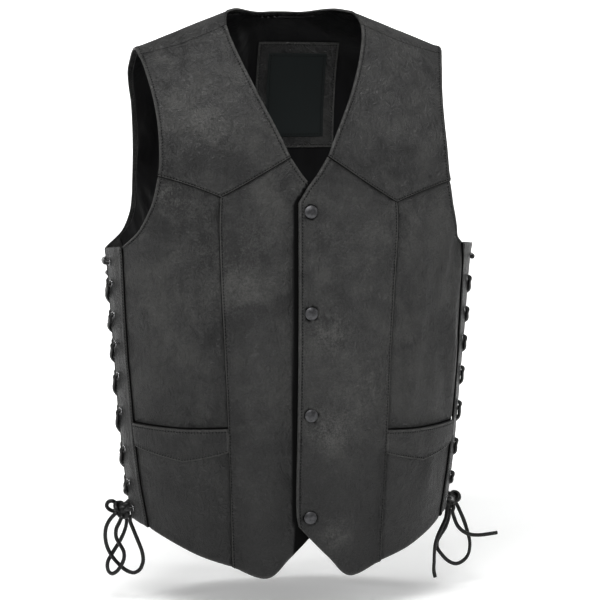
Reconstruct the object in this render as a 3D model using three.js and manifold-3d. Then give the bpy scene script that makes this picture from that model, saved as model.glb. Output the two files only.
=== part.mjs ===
// A leather vest, closed down the front with snaps and laced down both sides, filled out as if worn.
// Millimetres, +Z up. The front faces -Y, and the wearer's left is +X. The origin lies midway between
// the neck ends of the shoulders, at the height of the shoulder line, where the wearer holds the vest up.
import * as THREE from 'three';
import { mergeVertices } from 'three/addons/utils/BufferGeometryUtils.js';
import Module from 'manifold-3d';

const wasm = await Module();
wasm.setup();

// Thicknesses and gaps
const LEATHER = 1.6;
const LINING = 0.6;
const HALF_SEAM = 0.16;      // half the gap between two pieces that meet at a seam
const LYING_GAP = 0.5;       // between a panel and what lies on it
const LINING_DEPTH = 3.8;    // from the vest's outer surface to the lining's outer face
const LINING_INSET = 5;

// The closure: the left front laps over the right one
const LAP = 15;              // how far each front runs past the middle
const LAP_RISE = 2.2;        // how far the two fronts part there, each way
const LAP_FLAT = 38;
const LAP_END = 75;
const SNAP_HEIGHTS = [-233, -348.5, -469, -591.5];
const SNAP_RADIUS = 7.5;
const SNAP_DOME = 2.6;
const STUD_RADIUS = 5;

// The sides: a laced strip on each front, and the edge of the back behind it
const BACK_TO_SIDE = 22;     // the back's edge stops this far behind the vest's side
const EYELET_INSET = 13;
const UNDERARM = -277;
const EYELET_HEIGHTS = [-294, -319, -357, -392, -430, -473, -519, -560, -592];
const EYELET = { bore: 2.9, flange: 4.3, height: 0.8, seat: 0.4 };
const HOLE_RADIUS = 3.4;
const LACE_RADIUS = 2.3;

// The general figure that the vest is cut for, in level sections from the shoulder line down: half width,
// depth to the front and back, how square the section is, and how much of the shoulders' slope it takes
const FORM = [
  { z: 0, half: 226, front: 0, back: 0, square: 2.6, slope: 1 },
  { z: -3.5, half: 226, front: 16, back: 25, square: 2.7, slope: 1 },
  { z: -14, half: 226, front: 32, back: 50, square: 2.9, slope: 1 },
  { z: -36, half: 227, front: 52, back: 78, square: 3.2, slope: 0.98 },
  { z: -75, half: 229, front: 78, back: 99, square: 3.4, slope: 0.9 },
  { z: -125, half: 231, front: 102, back: 113, square: 3.4, slope: 0.7 },
  { z: -180, half: 231, front: 117, back: 119, square: 3.1, slope: 0.38 },
  { z: -240, half: 227, front: 124, back: 119, square: 2.5, slope: 0.1 },
  { z: -300, half: 223, front: 126, back: 115, square: 2.1, slope: 0 },
  { z: -370, half: 218.5, front: 126, back: 111, square: 2, slope: 0 },
  { z: -440, half: 213, front: 126, back: 110, square: 2, slope: 0 },
  { z: -510, half: 207.5, front: 124, back: 111, square: 2, slope: 0 },
  { z: -580, half: 199.5, front: 121, back: 113, square: 2, slope: 0 },
  { z: -640, half: 189, front: 118, back: 115, square: 2, slope: 0 },
  { z: -700, half: 180, front: 115, back: 116, square: 2, slope: 0 },
];
const FOOT = FORM.length - 1;
const SHOULDER_SLOPE = Math.tan(THREE.MathUtils.degToRad(21.5));
const NECK_SIDE = 82;        // the slope starts here, from the middle
const NECK_RISE = 30;        // and levels off this far above that
const NECK_SOFTNESS = 9;

// The largest soft folds of the leather. u is the distance round from the middle of the front, with the
// wearer's left positive, z the middle of the fold and lean how far its top leans towards +u
const FOLDS = [
  { u: 138, z: -380, long: 150, wide: 13, high: 2.6, lean: 14 },
  { u: 178, z: -345, long: 105, wide: 11, high: -2.2, lean: 8 },
  { u: 205, z: -400, long: 130, wide: 12, high: 2.2, lean: -6 },
  { u: 160, z: -560, long: 70, wide: 12, high: 1.8, lean: 10 },
  { u: -200, z: -318, long: 45, wide: 10, high: -2, lean: 16 },
  { u: -120, z: -125, long: 60, wide: 13, high: 1.6, lean: 26 },
  { u: -60, z: -440, long: 90, wide: 16, high: 1.2, lean: -8 },
  { u: 60, z: -330, long: 90, wide: 16, high: 1.4, lean: 8 },
];

// Catmull-Rom through the sections, mirrored in depth across the shoulder line
function section(level) {
  const at = THREE.MathUtils.clamp(Math.abs(level), 0, FOOT - 1e-6);
  const row = Math.floor(at);
  const t = at - row;
  const { front: frontDepth, back: backDepth } = FORM[1];
  const before = row > 0 ? FORM[row - 1] : { ...FORM[1], front: -frontDepth, back: -backDepth };
  const after = FORM[Math.min(row + 2, FOOT)];
  const blend = (key) => {
    const [a, b, c, d] = [before[key], FORM[row][key], FORM[row + 1][key], after[key]];
    const [square, cube] = [2 * a - 5 * b + 4 * c - d, 3 * b - a - 3 * c + d];
    return 0.5 * (2 * b + (c - a) * t + square * t * t + cube * t * t * t);
  };
  return Object.fromEntries(Object.keys(FORM[0]).map((key) => [key, blend(key)]));
}

const LEVEL_STEPS = 1400;
const LEVEL_HEIGHTS = Array.from({ length: LEVEL_STEPS + 1 }, (_, i) => section((i * FOOT) / LEVEL_STEPS).z);

// The level of a height on the neck side, where the shoulders' slope counts nothing
function levelAt(z) {
  let i = LEVEL_HEIGHTS.findIndex((height) => height <= z);
  if (i <= 0) i = 1;
  const part = (LEVEL_HEIGHTS[i - 1] - z) / (LEVEL_HEIGHTS[i - 1] - LEVEL_HEIGHTS[i]);
  return ((i - 1 + part) * FOOT) / LEVEL_STEPS;
}

function shoulderRise(x) {
  const slope = SHOULDER_SLOPE * (Math.abs(x) - NECK_SIDE);
  const soft = (a) => Math.exp(a / NECK_SOFTNESS);
  return -NECK_SOFTNESS * Math.log((soft(slope) + soft(-NECK_RISE)) / (1 + soft(-NECK_RISE)));
}

// Half of a level section as a line with running lengths, from the middle of one face round the side
const QUARTER_STEPS = 60;
const halfRings = new Map();
function halfRing(face, level) {
  const key = `${face} ${level.toFixed(5)}`;
  if (halfRings.has(key)) return halfRings.get(key);
  const s = section(level);
  const [own, other] = face < 0 ? [s.front, s.back] : [s.back, s.front];
  const x = [];
  const y = [];
  for (let i = 0; i <= 2 * QUARTER_STEPS; i++) {
    const turn = (Math.PI / 2) * (i / QUARTER_STEPS);
    x.push(s.half * Math.sin(turn) ** (2 / s.square));
    const cos = Math.cos(turn);
    y.push((cos > 0 ? own : other) * Math.sign(cos) * Math.abs(cos) ** (2 / s.square));
  }
  const run = [0];
  for (let i = 1; i < x.length; i++) run.push(run[i - 1] + Math.hypot(x[i] - x[i - 1], y[i] - y[i - 1]));
  const ring = { x, y, run, side: run[QUARTER_STEPS], z: s.z, slope: s.slope };
  halfRings.set(key, ring);
  return ring;
}

// Pattern coordinates: u is the distance round from the middle, with the wearer's left positive. The station
// is a level, positive on the front and negative on the back, so that it runs on over the shoulder line.
function bareForm(u, station) {
  const face = station < 0 ? 1 : -1;
  const ring = halfRing(face, Math.abs(station));
  const run = Math.min(Math.abs(u), ring.run.at(-1) - 1e-6);
  let i = 1;
  while (ring.run[i] < run) i++;
  const t = (run - ring.run[i - 1]) / (ring.run[i] - ring.run[i - 1]);
  const x = THREE.MathUtils.lerp(ring.x[i - 1], ring.x[i], t);
  const y = THREE.MathUtils.lerp(ring.y[i - 1], ring.y[i], t);
  return new THREE.Vector3(Math.sign(u || 1) * x, face * y, ring.z + ring.slope * shoulderRise(x));
}

function bareNormal(u, station) {
  const [du, ds] = [1.5, 0.02];
  const alongU = bareForm(u + du, station).sub(bareForm(u - du, station));
  const alongStation = bareForm(u, station + ds).sub(bareForm(u, station - ds));
  return alongStation.cross(alongU).normalize();
}

const bell = (t) => Math.exp(-t * t);
function foldHeight(u, station) {
  if (station < 0) return 0;
  const z = section(station).z;
  return FOLDS.reduce((sum, f) => {
    const along = (z - f.z) / (f.long / 2);
    return sum + f.high * bell((u - f.u - (f.lean * along) / 2) / f.wide) * bell(along);
  }, 0);
}

// The point at a height above the vest's outer surface, folds included
function onVest(u, station, height = 0) {
  const normal = bareNormal(u, station);
  return bareForm(u, station).addScaledVector(normal, height + foldHeight(u, station));
}

const front = (u, z) => new THREE.Vector2(u, levelAt(z));
const back = (u, z) => new THREE.Vector2(u, -levelAt(z));
const sideRun = (z, face = -1) => halfRing(face, levelAt(z)).side;

// How far a front lies off the plain form, to lap over or under the other one
function lapHeight(u, sign) {
  const t = THREE.MathUtils.smoothstep(Math.abs(u), LAP_FLAT, LAP_END);
  return sign * LAP_RISE * (1 - t);
}

// Edges: lists of pattern points. A curve is a smooth line through the few points that its shape needs.
const curve = (points, cells) => new THREE.SplineCurve(points).getPoints(cells);
const chain = (...runs) => runs.reduce((all, run) => [...all, ...run.slice(1)]);
const reversed = (points) => [...points].reverse();

const NECK_COLUMNS = 4;      // cells across the centre panel, and the yoke above it
const ARM_COLUMNS = 4;       // across the side panel, and the yoke above it
const YOKE_ROWS = 8;
const HEM_ROWS = 5;          // from the hem to the pocket line
const STRIP_ROWS = 5;        // from the pocket line to the underarm
const ARMHOLE_ROWS = 5;      // from the underarm to the yoke
const NECK_ROWS = 2;         // of the centre panel, above the break of the front edge
const BACK_NECK_COLUMNS = 7;
const BACK_SIDE_ROWS = 8;
const BACK_ARMHOLE_ROWS = 13;

// The fronts hang a little unevenly, as worn. Each has the heights of its yoke seam and pocket line, its
// armhole from the underarm up, and how far its laced strip's seam and edge stop before the vest's side.
const FRONTS = [
  {
    name: 'right',
    sign: -1,
    yokePoint: -209,
    yokeArm: -171,
    pocket: -483,
    armhole: [[214, -258], [203, -246], [193, -228], [184.5, -206]],
    strip: [
      { z: -277, seam: 53, edge: 4 },
      { z: -330, seam: 46, edge: 6 },
      { z: -400, seam: 43, edge: 3 },
      { z: -490, seam: 43, edge: 2 },
      { z: -610, seam: 45, edge: 4 },
    ],
  },
  {
    name: 'left',
    sign: 1,
    yokePoint: -218,
    yokeArm: -183,
    pocket: -491,
    armhole: [[202, -263], [196.5, -250], [190.5, -235], [183, -212]],
    strip: [
      { z: -277, seam: 74, edge: 24 },
      { z: -330, seam: 57, edge: 22 },
      { z: -400, seam: 53, edge: 20 },
      { z: -490, seam: 52, edge: 20 },
      { z: -610, seam: 52, edge: 19 },
    ],
  },
];
const SHOULDER_NECK = front(82, -13);
const SHOULDER_TIP = front(186, -8);
const YOKE_NECK = front(22, -174);
const FRONT_BREAK = front(-14.5, -223);
const FRONT_FOOT = front(-14, -602);

const shoulderSeam = curve([SHOULDER_NECK, front(127, -14), front(152, -12.5), SHOULDER_TIP],
  NECK_COLUMNS + ARM_COLUMNS);

// How far a line of the laced strip stops before the vest's side at a height
function stripAt({ strip }, line, z) {
  const low = Math.max(strip.findIndex((row) => row.z <= z), 1);
  const [above, below] = [strip[low - 1], strip[low]];
  const t = THREE.MathUtils.clamp((above.z - z) / (above.z - below.z), 0, 1);
  return THREE.MathUtils.lerp(above[line], below[line], t);
}

function frontEdges(side) {
  const { yokePoint, yokeArm, pocket, armhole } = side;
  const point = front(105, yokePoint);
  const arm = front(177, yokeArm);
  const stripSeam = (z) => front(sideRun(z) - stripAt(side, 'seam', z), z);
  const stripEdge = (z) => front(sideRun(z) - stripAt(side, 'edge', z), z);
  const underarm = stripSeam(UNDERARM + 5);
  const pocketSeam = front(97, pocket);
  const hemPrincess = front(91, -651);
  const hemStrip = stripSeam(-611);
  return {
    yokeNeckSide: curve([YOKE_NECK, point], NECK_COLUMNS),
    yokeArmSide: curve([point, arm], ARM_COLUMNS),
    neckline: curve([YOKE_NECK, front(34, -148), front(47.5, -119), front(61, -86.5), front(72.5, -54),
      front(79.5, -29), SHOULDER_NECK], YOKE_ROWS),
    neckPoint: curve([FRONT_BREAK, front(-3, -207), front(9, -193), YOKE_NECK], NECK_ROWS),
    frontEdge: curve([FRONT_FOOT, front(-17, -575), front(-16, -480), front(-LAP, -370), front(-LAP, -270),
      FRONT_BREAK], HEM_ROWS + STRIP_ROWS + ARMHOLE_ROWS - NECK_ROWS),
    armholeAbove: curve([arm, front(174.5, -146), front(173.5, -104), front(175.5, -68), front(181, -30),
      SHOULDER_TIP], YOKE_ROWS),
    armholeBelow: curve([underarm, ...armhole.map(([u, z]) => front(u, z)), arm], ARMHOLE_ROWS),
    princessAbove: curve([pocketSeam, front(101, -392), front(105, -306), front(106.5, -245), point],
      STRIP_ROWS + ARMHOLE_ROWS),
    princessBelow: curve([hemPrincess, front(94, -560), pocketSeam], HEM_ROWS),
    pocketLine: curve([pocketSeam, front(150, pocket - 2), stripSeam(pocket)], ARM_COLUMNS),
    stripSeamAbove: curve([stripSeam(pocket), stripSeam(-400), stripSeam(-330), underarm], STRIP_ROWS),
    stripSeamBelow: curve([hemStrip, stripSeam(-550), stripSeam(pocket)], HEM_ROWS),
    stripEdge: chain(curve([stripEdge(-606), stripEdge(-550), stripEdge(pocket)], HEM_ROWS),
      curve([stripEdge(pocket), stripEdge(-400), stripEdge(-330), stripEdge(UNDERARM)], STRIP_ROWS)),
    stripTop: curve([underarm, stripEdge(UNDERARM)], 2),
    stripFoot: curve([hemStrip, stripEdge(-606)], 2),
    hemCentre: curve([FRONT_FOOT, front(22, -640), front(50, -665), hemPrincess], NECK_COLUMNS),
    hemSide: curve([hemPrincess, front(130, -640), front(172, -623), hemStrip], ARM_COLUMNS),
  };
}

// The half of the back with positive u, over the shoulder line to the seam on the front of the shoulder
const backSide = (z) => back(sideRun(z, 1) - BACK_TO_SIDE, z);
const backEdges = {
  hem: curve([back(0, -612), back(120, -611), backSide(-607)],
    BACK_NECK_COLUMNS + NECK_COLUMNS + ARM_COLUMNS),
  middle: chain(curve([back(0, -612), back(0, -450), back(0, -281)], BACK_SIDE_ROWS),
    curve([back(0, -281), back(0, -200), back(0, -120), back(0, -60), back(0, -22.5)], BACK_ARMHOLE_ROWS)),
  outer: chain(curve([backSide(-607), backSide(-500), backSide(-390), backSide(-281)], BACK_SIDE_ROWS),
    curve([backSide(-281), back(226, -273), back(205, -262), back(191, -243), back(184, -221),
      back(180, -190), back(178, -150), back(179, -110), back(182, -75), back(187, -48), back(190, -26),
      back(189, -10), front(187.5, -1), SHOULDER_TIP], BACK_ARMHOLE_ROWS)),
  top: chain(curve([back(0, -22.5), back(26, -17.5), back(45, -9.5), back(62, -2), new THREE.Vector2(75, 0),
    front(80, -4.5), SHOULDER_NECK], BACK_NECK_COLUMNS), shoulderSeam),
};

// A grid of pattern points between four edges (a Coons patch): rows from bottom to top, columns inner to
// outer. With a larger fade, the top edge's bends reach less far down.
function patch(bottom, top, inner, outer, fade = 1) {
  const [across, up] = [bottom.length - 1, inner.length - 1];
  return inner.map((_, row) => bottom.map((__, column) => {
    const [c, r] = [column / across, row / up];
    const point = new THREE.Vector2();
    point.addScaledVector(inner[row], 1 - c).addScaledVector(outer[row], c);
    for (const [list, keep] of [[bottom, 1 - r], [top, r ** fade]]) {
      point.addScaledVector(list[column], keep);
      point.addScaledVector(list[0], -keep * (1 - c)).addScaledVector(list.at(-1), -keep * c);
    }
    return point;
  }));
}

// Draws the edges of a grid in by some millimetres, towards the next line of points
function inset(grid, { bottom = 0, top = 0, inner = 0, outer = 0 }) {
  const out = grid.map((row) => row.map((p) => p.clone()));
  const pull = (point, towards, mm) => {
    if (!mm) return;
    const length = bareForm(point.x, point.y).distanceTo(bareForm(towards.x, towards.y));
    point.lerp(towards, mm / length);
  };
  out[0].forEach((p, i) => pull(p, out[1][i], bottom));
  out.at(-1).forEach((p, i) => pull(p, out.at(-2)[i], top));
  out.forEach((row) => pull(row[0], row[1], inner));
  out.forEach((row) => pull(row.at(-1), row.at(-2), outer));
  return out;
}

const opposite = (points) => points.map((p) => new THREE.Vector2(-p.x, p.y));
const mirrored = (grid, sign) => (sign > 0 ? grid : grid.map(opposite));

// A closed wall on a grid of pattern points: outside gives the outer face's height above the vest
function wall(grid, thickness, outside = () => 0) {
  const [rows, columns] = [grid.length, grid[0].length];
  const positions = [];
  for (const depth of [0, thickness]) {
    for (const row of grid) {
      for (const p of row) positions.push(...onVest(p.x, p.y, outside(p) - depth).toArray());
    }
  }
  const at = (layer, row, column) => (layer * rows + row) * columns + column;
  const [a, b, c] = [grid[0][0], grid[0][1], grid[1][0]];
  const turned = (b.x - a.x) * (c.y - a.y) - (b.y - a.y) * (c.x - a.x) > 0;
  const faces = [];
  const quad = (p, q, r, s) => faces.push(...(turned ? [p, r, q, p, s, r] : [p, q, r, p, r, s]));
  const corner = (i) => new THREE.Vector3(...positions.slice(3 * i, 3 * i + 3));
  for (let row = 0; row + 1 < rows; row++) {
    for (let column = 0; column + 1 < columns; column++) {
      // both faces are cut along the cell's shorter diagonal
      const [low, high] = [at(0, row, column), at(0, row + 1, column)];
      const outer = [low, low + 1, high + 1, high];
      const [p, q, r, s] = outer.map(corner);
      const ring = p.distanceTo(r) <= q.distanceTo(s) ? outer : [...outer.slice(1), outer[0]];
      const inner = ring.map((i) => i + rows * columns);
      quad(...ring);
      quad(inner[0], inner[3], inner[2], inner[1]);
    }
  }
  // the four rims
  const [topRow, lastColumn] = [rows - 1, columns - 1];
  for (let column = 0; column < lastColumn; column++) {
    const next = column + 1;
    quad(at(0, 0, next), at(0, 0, column), at(1, 0, column), at(1, 0, next));
    quad(at(0, topRow, column), at(0, topRow, next), at(1, topRow, next), at(1, topRow, column));
  }
  for (let row = 0; row < topRow; row++) {
    const next = row + 1;
    quad(at(0, row, 0), at(0, next, 0), at(1, next, 0), at(1, row, 0));
    quad(at(0, next, lastColumn), at(0, row, lastColumn), at(1, row, lastColumn), at(1, next, lastColumn));
  }
  const geometry = new THREE.BufferGeometry();
  geometry.setAttribute('position', new THREE.Float32BufferAttribute(positions, 3));
  geometry.setIndex(faces);
  return geometry;
}

// Solids for cutting
function solidOf(geometry) {
  const bare = geometry.clone();
  bare.deleteAttribute('normal');
  bare.deleteAttribute('uv');
  const merged = mergeVertices(bare, 1e-4);
  return new wasm.Manifold(new wasm.Mesh({
    numProp: 3,
    vertProperties: new Float32Array(merged.attributes.position.array),
    triVerts: new Uint32Array(merged.index.array),
  }));
}

function geometryOf(solid) {
  const mesh = solid.getMesh();
  const geometry = new THREE.BufferGeometry();
  geometry.setAttribute('position', new THREE.Float32BufferAttribute(mesh.vertProperties, 3));
  geometry.setIndex([...mesh.triVerts]);
  return geometry;
}

// Turns a geometry made along +Z to stand on the vest at a pattern point, its own zero at the given height
function standOn(geometry, u, station, height) {
  const turn = new THREE.Quaternion().setFromUnitVectors(new THREE.Vector3(0, 0, 1), bareNormal(u, station));
  return geometry.applyQuaternion(turn).translate(...onVest(u, station, height).toArray());
}

// A turned piece from a closed profile of [radius, height], round +Z
function turned(profile, segments) {
  const points = profile.map(([radius, height]) => new THREE.Vector2(radius, height));
  return new THREE.LatheGeometry(points, segments).rotateX(Math.PI / 2);
}

const frontEyelet = (side, z) => front(sideRun(z) - stripAt(side, 'edge', z) - EYELET_INSET, z);
const backEyelet = (z) => back(sideRun(z, 1) - BACK_TO_SIDE - EYELET_INSET, z);

function pierced(geometry, points) {
  const drills = points.map((p) => {
    const drill = new THREE.CylinderGeometry(HOLE_RADIUS, HOLE_RADIUS, 8 * LEATHER, 8).rotateX(Math.PI / 2);
    return solidOf(standOn(drill, p.x, p.y, -LEATHER / 2));
  });
  return geometryOf(drills.reduce((solid, drill) => solid.subtract(drill), solidOf(geometry)));
}

// Materials
function material(color, roughness, metalness = 0) {
  return new THREE.MeshStandardMaterial({ color, roughness, metalness });
}
const LEATHER_LOOK = material(0x3a3a39, 0.6);
const LINING_LOOK = material(0x141416, 0.7);
const LABEL_LOOK = material(0x101312, 0.8);
const METAL_LOOK = material(0x5c5c5e, 0.4, 1);
const EYELET_LOOK = material(0x2b2b2d, 0.35, 1);
const LACE_LOOK = material(0x262627, 0.65);

const vest = new THREE.Group();
function add(name, geometry, look) {
  const mesh = new THREE.Mesh(geometry, look);
  mesh.name = name;
  vest.add(mesh);
}

// The back, in one piece with its neck and its two straps
const BACK_FADE = 4;
const backHalf = patch(backEdges.hem, backEdges.top, backEdges.middle, backEdges.outer, BACK_FADE);
const shoulderColumn = BACK_NECK_COLUMNS;
const backInset = backHalf.map((row, r) => row.map((p, c) => {
  if (r < backHalf.length - 1 || c < shoulderColumn) return p;
  const below = backHalf[r - 1][c];
  const length = bareForm(p.x, p.y).distanceTo(bareForm(below.x, below.y));
  return p.clone().lerp(below, HALF_SEAM / length);
}));
const bothHalves = (half) => half.map((row) => [...opposite(reversed(row.slice(1))), ...row]);
const backGrid = bothHalves(backInset);
const leftHoles = EYELET_HEIGHTS.map(backEyelet);
const backHoles = [...leftHoles, ...opposite(leftHoles)];
add('back', pierced(wall(backGrid, LEATHER), backHoles), LEATHER_LOOK);

// The fronts
function addFront(side) {
  const { name, sign } = side;
  const e = frontEdges(side);
  const seam = HALF_SEAM;
  const piece = (label, grid, thickness = LEATHER, outside = (p) => lapHeight(p.x, sign)) => {
    add(`${label}_${name}`, wall(mirrored(grid, sign), thickness, outside), LEATHER_LOOK);
  };
  const yoke = patch(chain(e.yokeNeckSide, e.yokeArmSide), shoulderSeam, e.neckline, e.armholeAbove);
  piece('yoke', inset(yoke, { bottom: seam, top: seam }));
  const centre = patch(e.hemCentre, e.yokeNeckSide, chain(e.frontEdge, e.neckPoint),
    chain(e.princessBelow, e.princessAbove));
  piece('front_centre', inset(centre, { top: seam, outer: seam }));
  const sideUpper = patch(e.pocketLine, e.yokeArmSide, e.princessAbove,
    chain(e.stripSeamAbove, e.armholeBelow));
  const upper = inset(sideUpper, { bottom: seam, top: seam, inner: seam });
  // only the stretch below the underarm meets the strip
  const upperDrawn = inset(upper, { outer: seam });
  const drawnRows = upper.map((row, r) => (r <= STRIP_ROWS ? upperDrawn[r] : row));
  piece('side_upper', drawnRows);
  const sideLower = patch(e.hemSide, e.pocketLine, e.princessBelow, e.stripSeamBelow);
  piece('side_lower', inset(sideLower, { top: seam, inner: seam, outer: seam }));

  const strip = inset(patch(e.stripFoot, e.stripTop, chain(e.stripSeamBelow, e.stripSeamAbove), e.stripEdge),
    { inner: seam });
  const [eyelets] = mirrored([EYELET_HEIGHTS.map((z) => frontEyelet(side, z))], sign);
  add(`lace_strip_${name}`, pierced(wall(mirrored(strip, sign), LEATHER), eyelets), LEATHER_LOOK);
  eyelets.forEach((p, i) => add(`eyelet_${name}_${i + 1}`, eyeletRing(p), EYELET_LOOK));
  addWelt(side, sideLower);
}

// The pocket welt lies on the lower side panel, with a straight top and a lower edge that runs to a point
const WELT = { top: 1, ends: 29, point: 41, pointColumn: 2, thickness: 2 };
function addWelt({ name, sign }, panel) {
  const columns = panel.at(-1).map((top, c) => {
    const next = panel.at(-2)[c];
    const length = bareForm(top.x, top.y).distanceTo(bareForm(next.x, next.y));
    const far = WELT.point - (WELT.point - WELT.ends) * Math.abs(c - WELT.pointColumn) / WELT.pointColumn;
    const down = (mm) => (mm <= length ? top.clone().lerp(next, mm / length)
      : next.clone().lerp(panel.at(-3)[c], (mm - length) / length));
    return [down(far), down((far + WELT.top) / 2), down(WELT.top)];
  });
  const grid = inset([0, 1, 2].map((r) => columns.map((column) => column[r])), { inner: 2, outer: 2 });
  add(`pocket_welt_${name}`, wall(mirrored(grid, sign), WELT.thickness, () => LYING_GAP + WELT.thickness),
    LEATHER_LOOK);
}

function eyeletRing(p) {
  const { bore, flange, height, seat } = EYELET;
  const profile = [[bore, 0], [flange, 0], [flange - 0.3, height * 0.6], [bore + 0.3, height], [bore, 0]];
  return standOn(turned(profile, 8), p.x, p.y, seat);
}

FRONTS.forEach(addFront);

// Snaps: a domed cap outside, and the stud that joins the two fronts between them
const capProfile = [[0, 0], [SNAP_RADIUS, 0], [SNAP_RADIUS, 0.7], [SNAP_RADIUS * 0.8, SNAP_DOME * 0.75],
  [SNAP_RADIUS * 0.4, SNAP_DOME * 0.97], [0, SNAP_DOME]];
const LAP_SPACE = 2 * LAP_RISE - LEATHER;      // between the left front's inner face and the right front
const STUD_GAP = 0.4;
const STUD_HEIGHT = LAP_SPACE - 2 * STUD_GAP;
const studProfile = [[0, 0], [STUD_RADIUS, 0], [STUD_RADIUS, STUD_HEIGHT], [0, STUD_HEIGHT]];
SNAP_HEIGHTS.forEach((z, i) => {
  const { x, y } = front(0, z);
  add(`snap_cap_${i + 1}`, standOn(turned(capProfile, 12), x, y, LAP_RISE + STUD_GAP), METAL_LOOK);
  add(`snap_stud_${i + 1}`, standOn(turned(studProfile, 10), x, y, -LAP_RISE + STUD_GAP), METAL_LOOK);
});

// The back's lining follows the back's own points, fewer of them where it's flat. Behind the laces it stops
// short of the back's edges.
const LINING_TO_SIDE = 45;
const LINING_TO_HEM = 14;
const LACED_TO = UNDERARM + 10;
const liningHalf = inset(backHalf, { bottom: LINING_TO_HEM, top: 2 * LINING_INSET, outer: LINING_INSET });
const liningRows = liningHalf.filter((_, r) => r > BACK_SIDE_ROWS || r % 2 === 0).map((row) => {
  const edge = row.at(-1);
  const reach = sideRun(section(edge.y).z, 1) - BACK_TO_SIDE - LINING_TO_SIDE;
  const share = edge.y < -levelAt(LACED_TO) ? Math.min(1, reach / edge.x) : 1;
  const kept = row.filter((_, c) => c > shoulderColumn || c % 2 === 0);
  return kept.map((p) => new THREE.Vector2(share * p.x, p.y));
});
const liningGrid = bothHalves(liningRows);
add('back_lining', wall(liningGrid, LINING, () => -LINING_DEPTH), LINING_LOOK);

// On the lining, a leather frame and on that a plain woven label, a little to the wearer's left
const LABEL = { left: -21, right: 80, bottom: -167, top: -33, border: 14, frame: 1.2, woven: 0.8 };
const FRAME_DEPTH = LINING_DEPTH + LINING + LYING_GAP;
const WOVEN_DEPTH = FRAME_DEPTH + LABEL.frame + LYING_GAP;
function labelPiece(border, thickness, depth) {
  const { left, right, bottom, top } = LABEL;
  const block = new THREE.BoxGeometry(right - left - 2 * border, 100, top - bottom - 2 * border);
  block.translate((left + right) / 2, 90, (top + bottom) / 2);
  return geometryOf(solidOf(wall(liningGrid, thickness, () => -depth)).intersect(solidOf(block)));
}
add('label_frame', labelPiece(0, LABEL.frame, FRAME_DEPTH), LEATHER_LOOK);
add('label', labelPiece(LABEL.border, LABEL.woven, WOVEN_DEPTH), LABEL_LOOK);

// Laces. A route's points are the tube's rings, so its parameter runs from point to point.
class Route extends THREE.CatmullRomCurve3 {
  getPointAt(t, target) {
    return this.getPoint(t, target);
  }

  getTangentAt(t, target) {
    return this.getTangent(t, target);
  }
}

const LACE_SIDES = 8;
function tube(points) {
  const outline = Array.from({ length: LACE_SIDES }, (_, i) => {
    const turn = (2 * Math.PI * i) / LACE_SIDES;
    return new THREE.Vector2(LACE_RADIUS * Math.cos(turn), LACE_RADIUS * Math.sin(turn));
  });
  const extrudePath = new Route(points, false, 'centripetal');
  return new THREE.ExtrudeGeometry(new THREE.Shape(outline), { steps: points.length - 1, extrudePath });
}

// A point near the side: g runs round from the vest's side, towards the back positive
const nearSide = (sign, g, z, height) => {
  const u = sideRun(z) + g;
  return onVest(sign * u, levelAt(z), height);
};
const LACE_OVER = 2.9;       // height of the lace's middle over an edge
const LACE_UNDER = -4.8;     // and under one
const CROSSING = 2.6;        // how far two laces part where they cross
const CROSS_HEIGHT = -2.9;   // the height of that place
const SLACK = 0.42;          // the share of its way down that a lace drops before it leaves the leather

// The lace's points about an eyelet: millimetres towards the other row, down, and above the leather
const BEFORE_EYELET = [[2.2, -0.6, LACE_UNDER - 0.4]];
const AFTER_EYELET = [[1.4, 1.8, 3.9], [5.5, 7, 2.9]];
const INTO_FIRST = [[5.5, 0, 4.4], [1.8, 0, 4], [0, 0, 1], [0, 0, -2], [1.6, 1, LACE_UNDER - 0.4]];
const UP_THROUGH = [[0, 0, -1.8], [0, 0, 1]];
const OUT_OF_LAST = [[1.7, 0.6, 4], [6, 1.5, 5]];

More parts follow.
